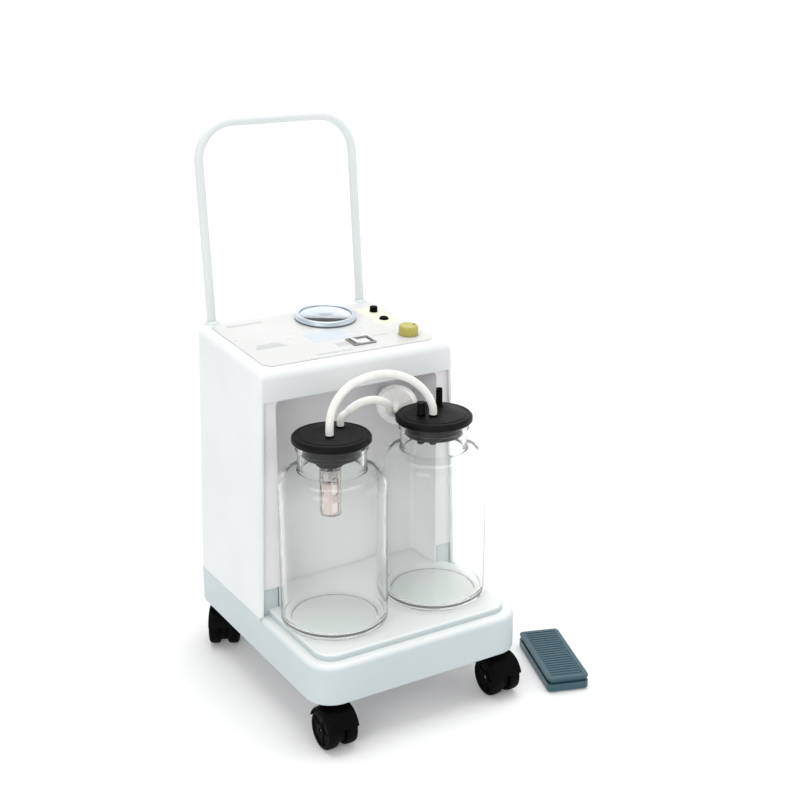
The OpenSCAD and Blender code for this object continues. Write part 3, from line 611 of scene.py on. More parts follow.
def liner_shape():
    t = 2.5
    y0 = FRONT_Y + 3.3  # the frame round the bay is seated in the back of the housing's front wall
    bottom = DECK_Z + 0.3
    frame_z0, frame_z1 = SILL_Z + 0.3, HEADER_Z + 11
    x0, x1 = half_w(frame_z0) - 4.4, half_w(frame_z1) - 4.4
    box = block(-BAY_HALF_W - t, BAY_HALF_W + t, y0, BAY_Y + t, bottom, HEADER_Z + t)
    frame_plate = build([[(-x0, y, frame_z0), (x0, y, frame_z0), (x1, y, frame_z1), (-x1, y, frame_z1)]
                         for y in (y0, y0 + t)])
    whole = cut(box, frame_plate, mode="UNION")
    # pocket with rounded inner corners, open at the front
    r = 6
    levels = [(0, y0 - 5), (0, BAY_Y - r)]
    levels += [(r * (1 - math.cos(a)), BAY_Y - r + r * math.sin(a)) for a in quarter(6, 1)]
    rings = []
    for inset, y in levels:
        ring = outline(BAY_HALF_W - inset, bottom - 1, HEADER_Z - inset, 0.5, 9 - min(inset, 6), 6)
        rings.append([(x, y, z) for x, z in ring])
    return cut(whole, build(rings), post(5.05, -20, 20, place(NIPPLE_X, BAY_Y, NIPPLE_Z) @ turn(-90, "X")))


piece("bay_liner", liner_shape(), "pump", "liner", ["recess_panel"], bevel=0.5, segments=2)


plate = moved(slab(123, -86, 86, 0, 1.5, 14, top=0.5, steps=10), on_top(0, 74))
piece("control_panel_plate", cut(plate, *top_holes()), "pump", "panel", ["control_panel"])

INK_Z0, INK_Z1 = 1.45, 1.62


def top_print(name, material, *patches):
    shapes = []
    for x0, x1, y0, y1, r in patches:
        cx, cy = (x0 + x1) / 2, (y0 + y1) / 2
        patch = block(x0 - cx, x1 - cx, y0 - cy, y1 - cy, INK_Z0, INK_Z1, r, steps=5)
        shapes.append(moved(patch, on_top(cx, cy)))
    return piece(name, joined(*shapes), "pump", material)


top_print("print_gauge_field", "ink_blue", (-29, 23, 39, 74, 3))
top_print("print_control_zone", "ink_yellow", (84, 119, 66, 136, 4))
top_print("print_grey_marks", "ink", (-105, -54, 139, 145, 1), (-48, 4, -4, 1, 1), (-8, 9, 14, 27, 1.5),
          (51, 75, 30, 32, 0.8), (86, 92, 38, 39.4, 0.5), (104, 110, 38, 39.4, 0.5))
hat = build([[(-23, -7, z), (23, -7, z), (14, 8, z), (-14, 8, z)] for z in (INK_Z0, INK_Z1)])
piece("print_pad_mark", hat, "pump", "ink", at=on_top(-86, 53))


def ring_ticks(at, r0, r1, angles, width=0.7, up=1.5):
    """Radial ticks printed on a surface that lies up above the place."""
    half = width / 2
    return joined(*[moved(block(r0, r1, -half, half, up - 0.05, up + 0.12, 0.1, steps=1), at @ turn(a, "Z"))
                    for a in angles])


piece("print_knob_scale", ring_ticks(KNOB, 16.5, 19.5, range(-225, 46, 27)), "pump", "ink")
piece("print_selector_scale", ring_ticks(SELECTOR, 7.5, 10, (0, 45, 90), 0.6, 1.62), "pump", "ink")


# ---------- rear ----------

def cover_shape():
    plate = slab(105, -125, 125, 0, 2.5, 10, top=0.8, steps=10)
    slots = [moved(block(s * 45 - 35, s * 45 + 35, -2.5, 2.5, -10, 10, 2.4, 5), place(0, 60 - i * 14))
             for i in range(7) for s in (-1, 1)]
    bolts = [post(2.1, -5, 10, place(s * 98, -y, 0)) for s in (-1, 1) for y in (-115, 115)]
    return cut(plate, *slots, *bolts)


piece("rear_cover_plate", cover_shape(), "pump", "white", ["rear_cover"], at=rear_at(0, 275),
      bevel=0.3, segments=2)


def screw_shape():
    dome = arc((2.6, 3.3), 1.4, 12, 90, 5) + [(0, 4.7)]
    head = lathe([(0, -8), (1.7, -8), (2, -7.4), (2, 2.5), (4, 2.5), (4, 3.6)] + dome, 40)
    return cut(head, block(-5, 5, -0.5, 0.5, 3.7, 6), block(-0.5, 0.5, -5, 5, 3.7, 6))


piece("cover_screw_set", joined(*[moved(screw_shape(), rear_at(s * 98, z)) for s in (-1, 1) for z in (160, 390)]),
      "pump", "zinc", ["cover_screws"])


def inlet_shape():
    body = cut(slab(25, -14, 14, 0, 2.5, 5, top=0.8), block(-14.2, 14.2, -10.2, 10.2, -22, 1), mode="UNION")
    hole = build([[(-12, -8, z), (12, -8, z), (12, 4, z), (8, 8, z), (-8, 8, z), (-12, 4, z)] for z in (-15, 15)])
    return cut(body, hole, post(1.9, -5, 10, place(-20, 0, 0)), post(1.9, -5, 10, place(20, 0, 0)))


piece("mains_inlet_body", inlet_shape(), "pump", "black", ["mains_inlet"], at=INLET,
      bevel=0.25, segments=2)
blades = [block(x - 1, x + 1, y - 2, y + 2, -16, -3, 0.4) for x, y in ((-7, 2), (0, -2), (7, 2))]
piece("mains_inlet_blades", joined(*blades), "pump", "brass", at=INLET)
rivets = [post(1.85, 0.5, 2.2, place(x, 0, 0), 24) for x in (-20, 20)]
piece("mains_inlet_rivets", joined(*rivets), "pump", "zinc", at=INLET)

socket_ring = turned([(0, -20, 0), (9, -20, 0.6), (9, 0, 0), (12, 0, 0.4), (12, 3, 0.9), (5.2, 3, 0.8), (3.2, 0.6, 0.3),
                      (3.2, -13, 0), (0, -13, 0)], 64)
piece("foot_socket_body", socket_ring, "pump", "black", ["foot_switch_socket"], at=SOCKET)
socket_nut = turned([(9.3, 0.02, 0), (10.8, 0.02, 0.3), (10.8, 1.5, 0.3), (9.3, 1.5, 0)], 6, loop=True)
piece("foot_socket_nut", cut(socket_nut), "pump", "zinc", at=SOCKET @ place(0, 0, 3.0))


# ---------- handle ----------

def handle_shape():
    """Bent tube: its legs run down into the housing."""
    length = (HANDLE_TOP - HANDLE_Z) / math.cos(math.radians(HANDLE_LEAN))
    r = 50
    x = HANDLE_X
    heights = (-70, -20, 0, 40, 90, 140, length - r - 10)
    path = [(-x, 0, z) for z in heights]
    path += [(-x + r - r * math.cos(a), 0, length - r + r * math.sin(a)) for a in quarter(20)]
    path += [(px, 0, length) for px in (-40, -15, 15, 40)]
    path += [(x - r + r * math.sin(a), 0, length - r + r * math.cos(a)) for a in quarter(20)]
    path += [(x, 0, z) for z in heights[::-1]]
    return tube(path, 6, 40)


piece("handle_bar", handle_shape(), "pump", "paint", ["handle_tube"], at=leg(0))
grommet = [(6.15, -1.5, 0), (8.6, -1.5, 0), (10.2, 0, 0), (10.2, 1.2, 1.0), (7.2, 4.2, 1.2), (6.15, 4.2, 0.3)]
grommets = [moved(turned(grommet, 64, loop=True), leg(s)) for s in (-1, 1)]
piece("handle_grommets", joined(*grommets), "pump", "paint")


# ---------- gauge ----------

DIAL_START, DIAL_SWEEP = 225, 270
DIAL_Z0, DIAL_Z1 = -5.05, -4.88
case_ring = turned([(0, -40, 0), (37, -40, 1), (37, 1.5, 0), (41.5, 1.5, 0.4), (41.5, 3.5, 0.4), (37, 3.5, 0),
                    (35, 2, 0.5), (35, -37, 1), (0, -37, 0)], 128)
piece("gauge_pan", joined(case_ring, post(6, -52, -40.01)), "pump", "gauge_dark", ["gauge_case"],
      at=GAUGE)
bezel = turned([(37.7, 3.55, 0.2), (41.5, 3.55, 0.3), (41.5, 7.0, 0.6), (40.0, 9.0, 0.9), (36.2, 9.0, 0.5),
                (35.6, 8.3, 0.3), (35.6, 7.95, 0.1), (37.7, 7.95, 0.1)], 160, loop=True)
piece("gauge_bezel_ring", bezel, "pump", "rim", ["gauge_bezel"], at=GAUGE)
window = turned([(0, 5.8, 0), (37.4, 5.8, 0.2), (37.4, 7.8, 0.2), (0, 7.9, 0)], 128)
piece("gauge_window", window, "pump", "lens", ["gauge_lens"], at=GAUGE)
dial = turned([(1.6, -6, 0), (34.8, -6, 0.2), (34.8, -5.1, 0.2), (1.6, -5.0, 0)], 128, loop=True)
piece("gauge_face_plate", dial, "pump", "dial", ["gauge_dial"], at=GAUGE)
spacer = turned([(34.0, -4.9, 0.1), (34.85, -4.9, 0.1), (34.85, 5.7, 0.2), (34.3, 5.7, 0.2)], 128, loop=True)
piece("gauge_spacer_ring", spacer, "pump", "mark", at=GAUGE)


def dial_marks():
    shapes = []
    for i in range(41):
        a = DIAL_START - i * DIAL_SWEEP / 40
        r0, w = (25.5, 0.8) if i % 8 == 0 else ((27.5, 0.5) if i % 4 == 0 else (29.5, 0.3))
        shapes.append(moved(block(r0, 32.5, -w / 2, w / 2, DIAL_Z0, DIAL_Z1, 0.05, steps=1), turn(a, "Z")))
    band = []
    for i in range(49):
        a = math.radians(DIAL_START - i * DIAL_SWEEP / 48)
        section = ((32.5, DIAL_Z0), (33.1, DIAL_Z0), (33.1, DIAL_Z1), (32.5, DIAL_Z1))
        band.append([polar(r, a, z) for r, z in section])
    shapes.append(build(band))
    return joined(*shapes)


def numeral(text, size, at):
    """Solid figure centred on its place."""
    data = bpy.data.curves.new("numeral", "FONT")
    data.body = text
    data.size = size
    data.align_x = data.align_y = "CENTER"
    data.extrude = 0.08
    obj = linked("numeral", data)
    mesh = evaluated(obj)
    bpy.data.objects.remove(obj)
    bm = bmesh.new()
    bm.from_mesh(mesh)
    bmesh.ops.remove_doubles(bm, verts=bm.verts, dist=0.0005)
    return moved(bm, at)


figures = []
for i in range(6):
    a = math.radians(DIAL_START - i * 54)
    figures.append(numeral(str(i * 20), 5.6, GAUGE @ place(*polar(20.5, a, -4.95))))
piece("gauge_scale", moved(dial_marks(), GAUGE), "pump", "needle")
piece("gauge_figures", joined(*figures), "pump", "needle")
hand = build([[(-9, -1.3, z), (-9, 1.3, z), (0, 1.7, z), (28, 0.35, z), (28, -0.35, z), (0, -1.7, z)]
              for z in (-3.4, -2.6)])
hub = turned([(0, -3.6, 0), (3, -3.6, 0.3), (3, -2.0, 0.8), (0, -1.6, 0)], 48)
piece("gauge_hand", joined(hand, hub, post(1, -28, -3.61)), "needle", "needle", ["gauge_needle"],
      at=GAUGE @ turn(-45, "Z"))


# ---------- controls ----------


def knob_shape():
    """Grip with twelve flutes and a dished top."""
    ring = []
    for k in range(144):
        a = 2 * math.pi * k / 144
        ring.append((a, 0.9 * max(0.0, math.cos(12 * a)) ** 1.5))
    levels = soften([(12.2, 2, 0), (13, 2.2, 0.3), (13, 11.6, 0.3), (12.2, 13.9, 1.6), (10.4, 14.5, 0.6),
                     (9.6, 13.9, 0.5), (0.01, 13.7, 0)], 4)
    rings = []
    for r, z in levels:
        share = 1.0 if r > 11.4 else max(0.0, (r - 10.2) / 1.2)
        share *= 1.0 if z > 3.2 else 0.0
        rings.append([polar(r - d * share, a, z) for a, d in ring])
    return build(rings)


piece("regulator_grip", joined(knob_shape(), post(4, -18, 1.99)), "regulator", "yellow",
      ["regulator_knob"], at=KNOB)
piece("regulator_pointer", block(6.5, 11, -0.7, 0.7, 13.4, 14.45, 0.3), "regulator", "needle", at=KNOB)
collar = turned([(5.2, 1.52, 0), (14.2, 1.52, 0.1), (14.2, 1.8, 0.1), (5.2, 1.8, 0)], loop=True)
piece("regulator_collar", collar, "pump", "ink", at=KNOB)


def switch_shape():
    flange = slab(16.5, -13.5, 13.5, 1.5, 3.1, 2, top=0.6)
    body = block(-14.5, 14.5, -11.5, 11.5, -28, 2, 0.8)
    return cut(cut(flange, body, mode="UNION"), block(-13.9, 13.9, -9.6, 9.6, -10, 20, 0.8))


piece("switch_frame", switch_shape(), "pump", "bezel", ["switch_cases"], at=SWITCH,
      bevel=0.2, segments=2)
selector_base = turned([(0, -22, 0), (8, -22, 0.5), (8, -4.1, 0), (4.1, -4.1, 0), (4.1, 1.4, 0.2), (2.1, 1.4, 0.2),
                        (2.1, -14, 0), (0, -14, 0)], 48)
piece("selector_base", selector_base, "pump", "black", at=SELECTOR)


def rocker_shape():
    side = soften([(8, -5, 0), (12.4, 5.6, 0.7), (0, 3.4, 8), (-12.4, 5.6, 0.7), (-8, -5, 0)])
    body = build([lifted(side, z) for z in (-9.2, 9.2)])
    return joined(body, post(1.2, 9.21, 10.8), post(1.2, -10.8, -9.21))


piece("power_rocker_cap", rocker_shape(), "rocker", "grey", ["power_rocker"],
      at=SWITCH @ place(0, 0, -2) @ turn(8, "Y") @ turn(90, "X"), bevel=0.35)


def selector_shape():
    cap = turned([(0, -12, 0), (2, -12, 0), (2, 1.9, 0), (5.5, 1.9, 0.3), (5.2, 9, 0.8), (0, 9, 0)], 64)
    return cut(cap, block(1.5, 7, -0.6, 0.6, 8, 12))


piece("selector_cap", selector_shape(), "selector", "black", ["selector_knob"], at=SELECTOR)
fuse = turned([(0, -38, 0), (6, -38, 0.6), (6, 1.5, 0), (6.5, 1.5, 0.2), (6.5, 3.1, 0.5), (5, 3.1, 0), (5, 4.6, 0.5),
               (0, 4.6, 0)], 64)
fuse = cut(fuse, block(-4, 4, -0.7, 0.7, 3.6, 8))
piece("fuse_cap", fuse, "pump", "black", ["fuse_holder"], at=FUSE)


# ---------- jars ----------

def jar_shape():
    outer = soften([(0, 2.2, 0), (53.5, 2.0, 2), (56.5, 0.0, 2), (62.5, 0.0, 2.5), (67.5, 4.6, 5), (67.5, 196.75, 20),
                    (42.9, 202.6, 3.5), (42.5, 227.6, 1.2), (45, 229.6, 1.2), (45, 237.4, 1.7), (41.2, 237.4, 0)], 10)
    inner = soften([(41.2, 237.4, 0), (37.4, 237.4, 1.4), (37.4, 201.2, 4), (63.9, 193.9, 16.4), (63.9, 6.4, 9),
                    (20, 6.4, 8), (0, 7.4, 0)], 10)
    return lathe(outer + inner[1:], 160)


for side, name in ((-1, "left"), (1, "right")):
    piece("glass_jar_" + name, jar_shape(), "jar_set", "glass", ["jar_" + name],
          at=place(side * JAR_X, JAR_Y, DECK_Z + 0.3), angle=60)


def lid_shape(holes):
    body = turned([(0, 342, 0), (34, 342, 0.8), (36.6, 345.2, 1), (36.8, 350, 0.3), (36.3, 351, 0.3), (36.8, 352, 0.3),
                   (36.8, 360, 0.4), (47.5, 360, 0.4), (49, 361.5, 0.8), (49, 366.5, 1.0), (47, 369, 1.2),
                   (43.6, 369.5, 0.4), (42.8, 368.8, 0.4), (41.4, 368.9, 0.4), (40.6, 369.8, 0.4), (30, 370.6, 1),
                   (26, LID_TOP, 1), (0, LID_TOP, 0)], 160, steps=4)
    return cut(body, *[post(4.5, 335, 380, place(x, y, 0)) for x, y in holes])


LINK_PORTS, ELBOW_AT, SPARE_PORT, CAPPED_PORT = ((-82.5, -97), (64.5, -97)), (-54.5, -73), (91.5, -69), (53, -87)
LID_HOLES = {"left": [(-9, -12), (19, 12)], "right": [(-9, -12), (18, 16), (-20.5, -2)]}
for side, name in ((-1, "left"), (1, "right")):
    piece("rubber_lid_" + name, lid_shape(LID_HOLES[name]), LID_BODY, "rubber", ["lid_" + name],
          at=place(side * JAR_X, JAR_Y, 0))


def port_profile(top, barbs=True):
    """Hose port from under the lid up to top."""
    outer = [(3, 334, 0), (4.45, 334, 0.2), (4.45, LID_TOP, 0), (5.4, LID_TOP + 0.02, 0.2), (5.4, LID_TOP + 1.6, 0.5),
             (4.45, LID_TOP + 1.6, 0.2)]
    z = LID_TOP + 4
    while barbs and z + 4 < top:
        outer += [(3.9, z, 0), (4.45, z + 0.6, 0.1), (4.0, z + 3.2, 0)]
        z += 3.6
    outer += [(4.2, top - 0.6, 0.2), (3.9, top, 0.2), (3, top, 0.1)]
    return turned(outer, 48, loop=True)


def elbow_shape():
    """Hollow elbow that stands in the lid and bends by 60 degrees towards the filter."""
    r, z, lean = 7, 379, math.radians(60)
    bend = [(r - r * math.cos(lean * k / 10), 0, z + r * math.sin(lean * k / 10)) for k in range(11)]
    end, way = Vector(bend[-1]), Vector((math.sin(lean), 0, 0.5))
    path = [(0, 0, low) for low in (334, 350, 366, 376)] + bend + [tuple(end + way * d) for d in (3, 8.1)]
    return tube(path, [4.45] * 4 + [4.5] * len(bend) + [4.4, 4.3], 40, bore=2.6)


collar = [(4.5, LID_TOP + 0.02, 0), (5.4, LID_TOP + 0.02, 0.2), (5.4, LID_TOP + 1.6, 0.5), (4.5, LID_TOP + 1.6, 0)]
ports = joined(moved(port_profile(LID_TOP + 2, False), place(*LINK_PORTS[0])),
               moved(turned(collar, 48, loop=True), place(*ELBOW_AT)),
               moved(port_profile(LID_TOP + 2, False), place(*LINK_PORTS[1])),
               moved(port_profile(LID_TOP + 24), place(*SPARE_PORT)),
               moved(port_profile(LID_TOP + 6, False), place(*CAPPED_PORT)))
piece("lid_port_set", ports, LID_BODY, "black", ["lid_ports"])
piece("lid_elbow", elbow_shape(), LID_BODY, "silicone", at=place(*ELBOW_AT))
stopper = turned([(0, 5, 0), (4.6, 5, 0.3), (4.6, -0.02, 0), (5.9, -0.02, 0.3), (5.9, 2.0, 0.3), (5.3, 2.6, 0.3),
                  (5.1, 13.4, 0.8), (5.9, 14.2, 0.3), (5.9, 15.4, 0.5), (4.2, 16, 0.6), (0, 16, 0)], 64)
piece("port_stopper", stopper, LID_BODY, "rubber", ["port_cap"], at=place(*CAPPED_PORT, LID_TOP + 1.6))

CAGE = place(*LINK_PORTS[0])
FLOAT = CAGE @ place(0, 0, 274.3)


def cage_shape():
    wall = turned([(4.5, 331.3, 0), (11.2, 331.3, 2), (11.2, 274, 0.8), (3, 274, 0), (3, 272, 0), (13, 272, 1),
                   (13, 335, 2.5), (10, 337, 0), (4.5, 337, 0)], 72, loop=True)
    slots = []
    for a in (0, 90):
        for z, h in ((276, 16), (300, 22)):
            slot = moved(block(-4, 4, -h / 2, h / 2, -20, 20, 2.5), place(0, 0, z + h / 2) @ turn(90, "X"))
            slots.append(moved(slot, turn(a, "Z")))
    return cut(wall, *slots)


# rubber boss round the cage's upper end
boss = turned([(13.6, 342.2, 0), (13.6, 336.4, 0.4), (17.2, 336.4, 1.6), (17.6, 342.2, 0)], loop=True)
piece("lid_boss", boss, LID_BODY, "rubber", at=CAGE)
piece("float_cage_shell", cage_shape(), LID_BODY, "cage", ["float_cage"], at=CAGE)
bob = turned([(0, 29, 0), (9, 29, 2), (9, 0.6, 0), (9.8, 0, 0.3), (10.6, 0.8, 0.5), (10.6, 36.5, 1.6), (6.4, 38, 1),
              (0, 38, 0)], 72)
piece("float_bob", bob, "float_body", "float", ["float"], at=FLOAT)
seal = turned([(0, 38.01, 0), (6, 38.01, 0.3), (6, 39.6, 0.6), (4.5, 40.5, 0.5), (0, 40.5, 0)], 48)
piece("float_seal", seal, "float_body", "rubber", at=FLOAT)


# ---------- suction filter and its nipple ----------

FILTER_TURN = 38
FILTER = place(NIPPLE_X, 0, NIPPLE_Z) @ turn(-FILTER_TURN, "Z") @ turn(90, "X")

# disc about its own Z: two moulded halves with radial ribs, clamped at a welded rim
front = [(0, 7.2, 0), (8, 7.2, 0), (10.5, 7.0, 1.5), (23.5, 7.0, 2.5)]
rim = [(25, 9.5, 1), (25, 12.1, 0.2), (27, 12.1, 0.5), (27, 13.9, 0.1), (26.6, 14.0, 0.1), (27, 14.1, 0.1),
       (27, 15.9, 0.5), (25, 15.9, 0.2), (25, 18.5, 1)]
spout = [(5.2, 22.5, 1), (4.9, 29, 0.4), (4.5, 29.5, 0.2), (4.2, 33, 0), (4.5, 33.6, 0.1), (4.2, 37.4, 0.2),
         (3.9, 38, 0.2), (3, 38, 0.1), (3, 14, 0), (0, 14, 0)]
disc = turned(front + rim + [(23.5, 21.0, 2.5), (7, 21.0, 1.5)] + spout, 120, steps=4)
ribs = [moved(block(8.5, 23.5, -0.6, 0.6, 20.6, 21.9, 0.3, steps=2), turn(30 * k, "Z")) for k in range(12)]
piece("filter_housing", joined(disc, *ribs), "pump", "filter", ["filter_disc"], at=FILTER)
stub = tube([(0, 16, 0), (0, 12, 0), (0, 8, 0)], [8.0, 8.0, 7.6], 48, bore=4.35)
heading = Vector((-math.sin(math.radians(FILTER_TURN)), -math.cos(math.radians(FILTER_TURN)), 0))
curve = []
for k in range(9):
    t = k / 8
    curve.append(tuple(Vector((0, 8, 0)).lerp(Vector(), t) * (1 - t) + Vector().lerp(heading * 7.4, t) * t))
piece("filter_elbow", joined(stub, tube(curve, [7.6] * 8 + [7.9], 48)), "pump", "filter",
      at=place(NIPPLE_X, 0, NIPPLE_Z))

NIPPLE = place(NIPPLE_X, BAY_Y, NIPPLE_Z) @ turn(90, "X")
nipple = turned([(2.5, -14, 0), (3.8, -14, 0.2), (4, -13, 0), (4, -6.7, 0), (5, -6.6, 0), (5, 0.02, 0), (9, 0.02, 0.3),
                 (9, 3.4, 0.8), (5.4, 4, 0.5), (4, 5.2, 0.4), (4, 12, 0), (4, 35.2, 0), (3.6, 36, 0.2), (2.5, 36, 0)],
                64, loop=True)
nut = turned([(5.02, -6.6, 0), (7.9, -6.6, 0.3), (7.9, -2.6, 0.3), (5.02, -2.6, 0)], 6, loop=True)
piece("suction_nipple", joined(nipple, nut), "pump", "chrome", ["panel_nipple"], at=NIPPLE)


# ---------- casters ----------

WHEEL_R, TRAIL, TRACK = 25, 14, 12.75
HUB = place(TRAIL, 0, WHEEL_R) @ turn(90, "X")
CASTERS = {"fl": (-121, -155, -90), "fr": (121, -155, -90), "rl": (-122, 150, -120), "rr": (121, 150, -75)}


def fork_shape():
    """Hood over the twin wheels, an arched shell rounded along both sides, with its web and neck."""
    r = 29
    rings = []
    side = [(20.5, 3.2), (20.1, 1.6), (19.2, 0.6), (17.6, 0.0)]
    for y, shrink in [(-y, shrink) for y, shrink in side] + side[::-1]:
        rr = r - shrink
        start = math.degrees(math.asin(9 / rr))
        rings.append([(x + TRAIL, y, z + WHEEL_R) for x, z in arc((0, 0), rr, start, 180 - start, 40)])
    wells = [post(WHEEL_R + 1.2, -8.75, 8.75, place(TRAIL, s * TRACK, WHEEL_R) @ turn(90, "X"), 96) for s in (-1, 1)]
    web = moved(turned([(0, -4, 0), (20, -4, 0.8), (20, 4, 0.8), (0, 4, 0)], 72), HUB)
    neck = turned([(0, 40, 0), (13, 40, 0), (13, 57.2, 0.9), (12.2, 58, 0.2), (0, 58, 0)], 72)
    whole = cut(cut(build(rings), neck, mode="UNION"), *wells)
    return cut(cut(whole, web, mode="UNION"), post(3.03, -30, 30, HUB, 32))


def wheel_shape():
    """One wheel about its own Z: tread, recessed web with ribs and hub on the outer face."""
    inner = [(3.05, -7.5, 0), (6.2, -7.5, 0.3), (6.2, -6.4, 0.2), (18.6, -6.4, 0.4)]
    tread = [(19.4, -7.5, 0.4), (22.2, -7.5, 0.8), (24.4, -6.0, 1), (25, -3.4, 1.5)]
    tread += [(r, -z, soft) for r, z, soft in tread[::-1]]
    web = [(18.6, 5.8, 0.4), (8.2, 5.8, 0.4), (7.6, 7.5, 0.4), (3.05, 7.5, 0)]
    return turned(inner + tread + web, loop=True, steps=4)


for key, (x, y, yaw) in CASTERS.items():
    at = place(x, y, 0) @ turn(yaw, "Z")
    fork = f"{key}_fork"
    piece(f"caster_{key}_hood", fork_shape(), fork, "black", [f"caster_{key}_fork"],
          at=at, bevel=0.35, segments=2)
    pin = turned([(0, 58.01, 0), (7.5, 58.01, 0.2), (7.5, 59.4, 0.4), (5.5, 59.4, 0), (5.5, 91.2, 0.6), (4.8, 92, 0.2),
                  (0, 92, 0)], 48)
    piece(f"caster_{key}_pin", pin, fork, "zinc", at=at)
    axle = turned([(0, -19, 0), (2.6, -19, 0.3), (3, -18.4, 0.2), (3, 18.4, 0.2), (2.6, 19, 0.3), (0, 19, 0)], 32)
    piece(f"caster_{key}_axle", axle, fork, "steel", at=at @ HUB)
    both = []
    for s in (-1, 1):
        stand = place(TRAIL, s * TRACK, WHEEL_R) @ turn(-90 * s, "X")
        ribs = [block(7.9, 19.0, -0.8, 0.8, 5.7, 7.0, 0.2, steps=2) for _ in range(5)]
        both += [moved(wheel_shape(), stand)] + [moved(rib, stand @ turn(72 * k, "Z")) for k, rib in enumerate(ribs)]
    wheels = f"{key}_wheels"
    piece(f"caster_{key}_wheel_pair", joined(*both), wheels, "tyre", [f"caster_{key}_wheels"], at=at)


# ---------- foot switch ----------

PEDAL = place(221, -159, 0) @ turn(-19, "Z")
HINGE = place(0, 57, 13.5) @ turn(90, "Y")


def hinge_lug(x, y0, y1, z0, z1):
    """Lug bored for the hinge pin."""
    return cut(block(x - 2, x + 2, y0, y1, z0, z1, 0.6), post(1.54, -40, 40, HINGE, 32))


def tray_shape():
    outer = slab(28, -66, 66, 2, 12.5, 6, top=0.6, bottom=1.2)
    shape = cut(outer, slab(25.5, -63.5, 63.5, 4.5, 20, 4), moved(post(3, -10, 10), place(0, 66, 8.2) @ turn(90, "X")),
                *[post(2.05, -5, 20, place(x, y, 0), 32) for x in (-20, 20) for y in (-44, 44)])
    return joined(shape, *[hinge_lug(s * 19.5, 52.5, 60.2, 4, 16) for s in (-1, 1)])


piece("foot_tray", tray_shape(), "foot_switch", "blue", ["pedal_base"], at=PEDAL)


def treadle_shape():
    plate = slab(28, -66, 66, 17.5, 21, 6, top=1.2, bottom=0.8)
    skirt = cut(block(-24.8, 24.8, -62.8, 62.8, 10.2, 17.6, 3.5), block(-22.8, 22.8, -60.8, 60.8, 8, 17.5, 1.5))
    whole = cut(cut(plate, block(-21.5, 21.5, -59.5, 59.5, 20.2, 22, 3)), skirt, mode="UNION")
    lugs = [hinge_lug(s * 14.5, 53.5, 60.5, 10, 17.49) for s in (-1, 1)]
    return joined(whole, *lugs, post(2.5, 15.2, 17.49, place(0, 5, 0), 32))


piece("foot_treadle", treadle_shape(), "treadle", "blue", ["pedal_cover"], at=PEDAL,
      bevel=0.25, segments=2)
tread_bars = [block(-20, 20, y - 1.1, y + 1.1, 20.15, 20.95, 1.0) for y in range(-54, 55, 6)]
piece("foot_tread_ribs", joined(*tread_bars), "treadle", "blue", at=PEDAL, bevel=0.3, segments=2)


def coil(radius, wire, z0, z1, turns, steps=20):
    """Round wire spring with closed ends, about +Z."""
    path = []
    for k in range(int(turns * steps) + 1):
        t = k / (turns * steps)
        rise = min(max((t * turns - 0.8) / (turns - 1.6), 0.0), 1.0)
        a = 2 * math.pi * turns * t
        path.append(polar(radius, a, z0 + wire + (z1 - z0 - 2 * wire) * rise))
    return tube(path, wire, 12)


# the treadle's return spring, drawn once with fixed ends; the real spring shortens as the treadle comes down
SPRING_Y, SPRING_Z = -40, (4.7, 17.3)
spring = object_from("pedal_coil_spring", coil(5.25, 0.7, *SPRING_Z, 5.5))
spring.data.transform(Matrix.Scale(MM, 4) @ PEDAL @ place(0, SPRING_Y, 0))
spring.data.materials.append(M["steel"])
spring.data.shade_smooth()
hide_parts("pedal_spring")
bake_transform(spring)


# ---------- looks of the CAD nodes that stay ----------

CARRIED = {"zinc": "base_plate handle_sockets caster_bushes", "brass": "regulator_valve",
           "alloy": "motor_case pump_crankcases pump_cylinders piston_left piston_right",
           "steel": "crankshaft pedal_pin", "rubber": "rubber_mounts pedal_feet",
           "black": "cooling_fan silencer pedal_switch", "board": "control_board", "silicone": "vacuum_lines"}
for material, nodes in CARRIED.items():
    for obj in [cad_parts[node] for node in nodes.split()]:
        if not obj.material_slots:
            obj.data.materials.append(M[material])
        for entry in obj.material_slots:
            entry.material = M[material]

for obj in (link_hose, filter_hose):
    obj.data.materials.append(M["silicone"])


# ---------- stage ----------

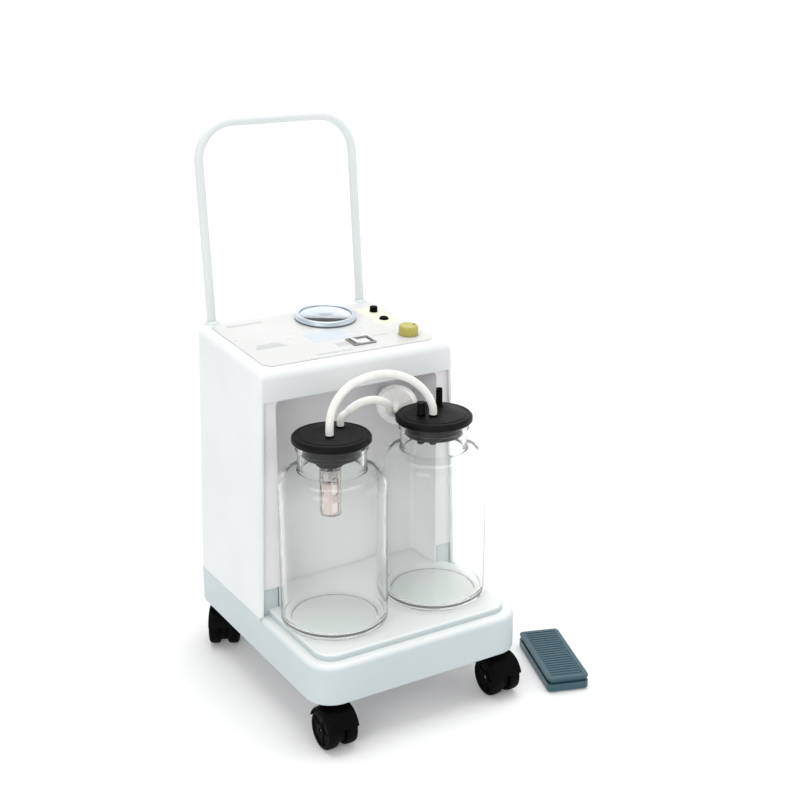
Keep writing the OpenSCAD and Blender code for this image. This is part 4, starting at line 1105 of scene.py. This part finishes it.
def floor_shape():
    """Pale floor that sweeps up behind, in metres."""
    half, sweep_y, sweep_r = 7, 2.0, 1.5
    side = [(-6, 0), (-3, 0), (0, 0), (sweep_y, 0)]
    side += [(sweep_y + sweep_r * math.sin(a), sweep_r - sweep_r * math.cos(a)) for a in quarter(16, 1)]
    side += [(3.5, 4.5)]
    bm = bmesh.new()
    rows = [[bm.verts.new((x, y, z)) for x in (-half, 0, half)] for y, z in side]
    for a, b in zip(rows, rows[1:]):
        for i in range(2):
            bm.faces.new((a[i], a[i + 1], b[i + 1], b[i]))
    bmesh.ops.recalc_face_normals(bm, faces=bm.faces)
    return bm


floor = object_from("floor", floor_shape())
floor.rotation_euler.z = math.radians(-31)
floor.data.shade_smooth()
# the paper glows a little more far from the object, so the background stays white
paper = Nodes("floor_paper")
away = paper.add("ShaderNodeVectorMath", operation="LENGTH")
paper.link(paper.place, away.inputs[0])
paper_tone = paper.tone(paper.noise(3, 4), (0.84, 0.84, 0.84), (0.86, 0.86, 0.86))
glow = paper.span(away.outputs["Value"], 0.08, 0.28, 1.0, 3.0)
paper.principled(Base_Color=paper_tone, Roughness=0.9, Specular_IOR_Level=0.1, Emission_Color=(1.0, 1.0, 1.0),
                 Emission_Strength=glow)
floor.data.materials.append(paper.mat)


def lamp(name, stand, target, size, power):
    data = bpy.data.lights.new(name, "AREA")
    data.shape = "RECTANGLE"
    data.size, data.size_y = size
    data.energy = power
    aimed(name, data, stand, target)


lamp("key", (-2.35, -1.75, 1.3), (0, 0, 0.35), (1.6, 1.6), 25)
lamp("top", (0.2, 0.2, 3.0), (0, 0, 0.3), (2.4, 2.4), 54)
lamp("fill", (2.0, -1.3, 0.9), (0, 0, 0.3), (1.4, 1.2), 8)

world = bpy.data.worlds.new("studio")
world.use_nodes = True
sky = world.node_tree.nodes["Background"].inputs
sky["Color"].default_value = (1, 1, 1, 1)
sky["Strength"].default_value = 0.66
bpy.context.scene.world = world
bpy.context.scene.view_settings.view_transform = "Standard"

bpy.context.view_layer.update()
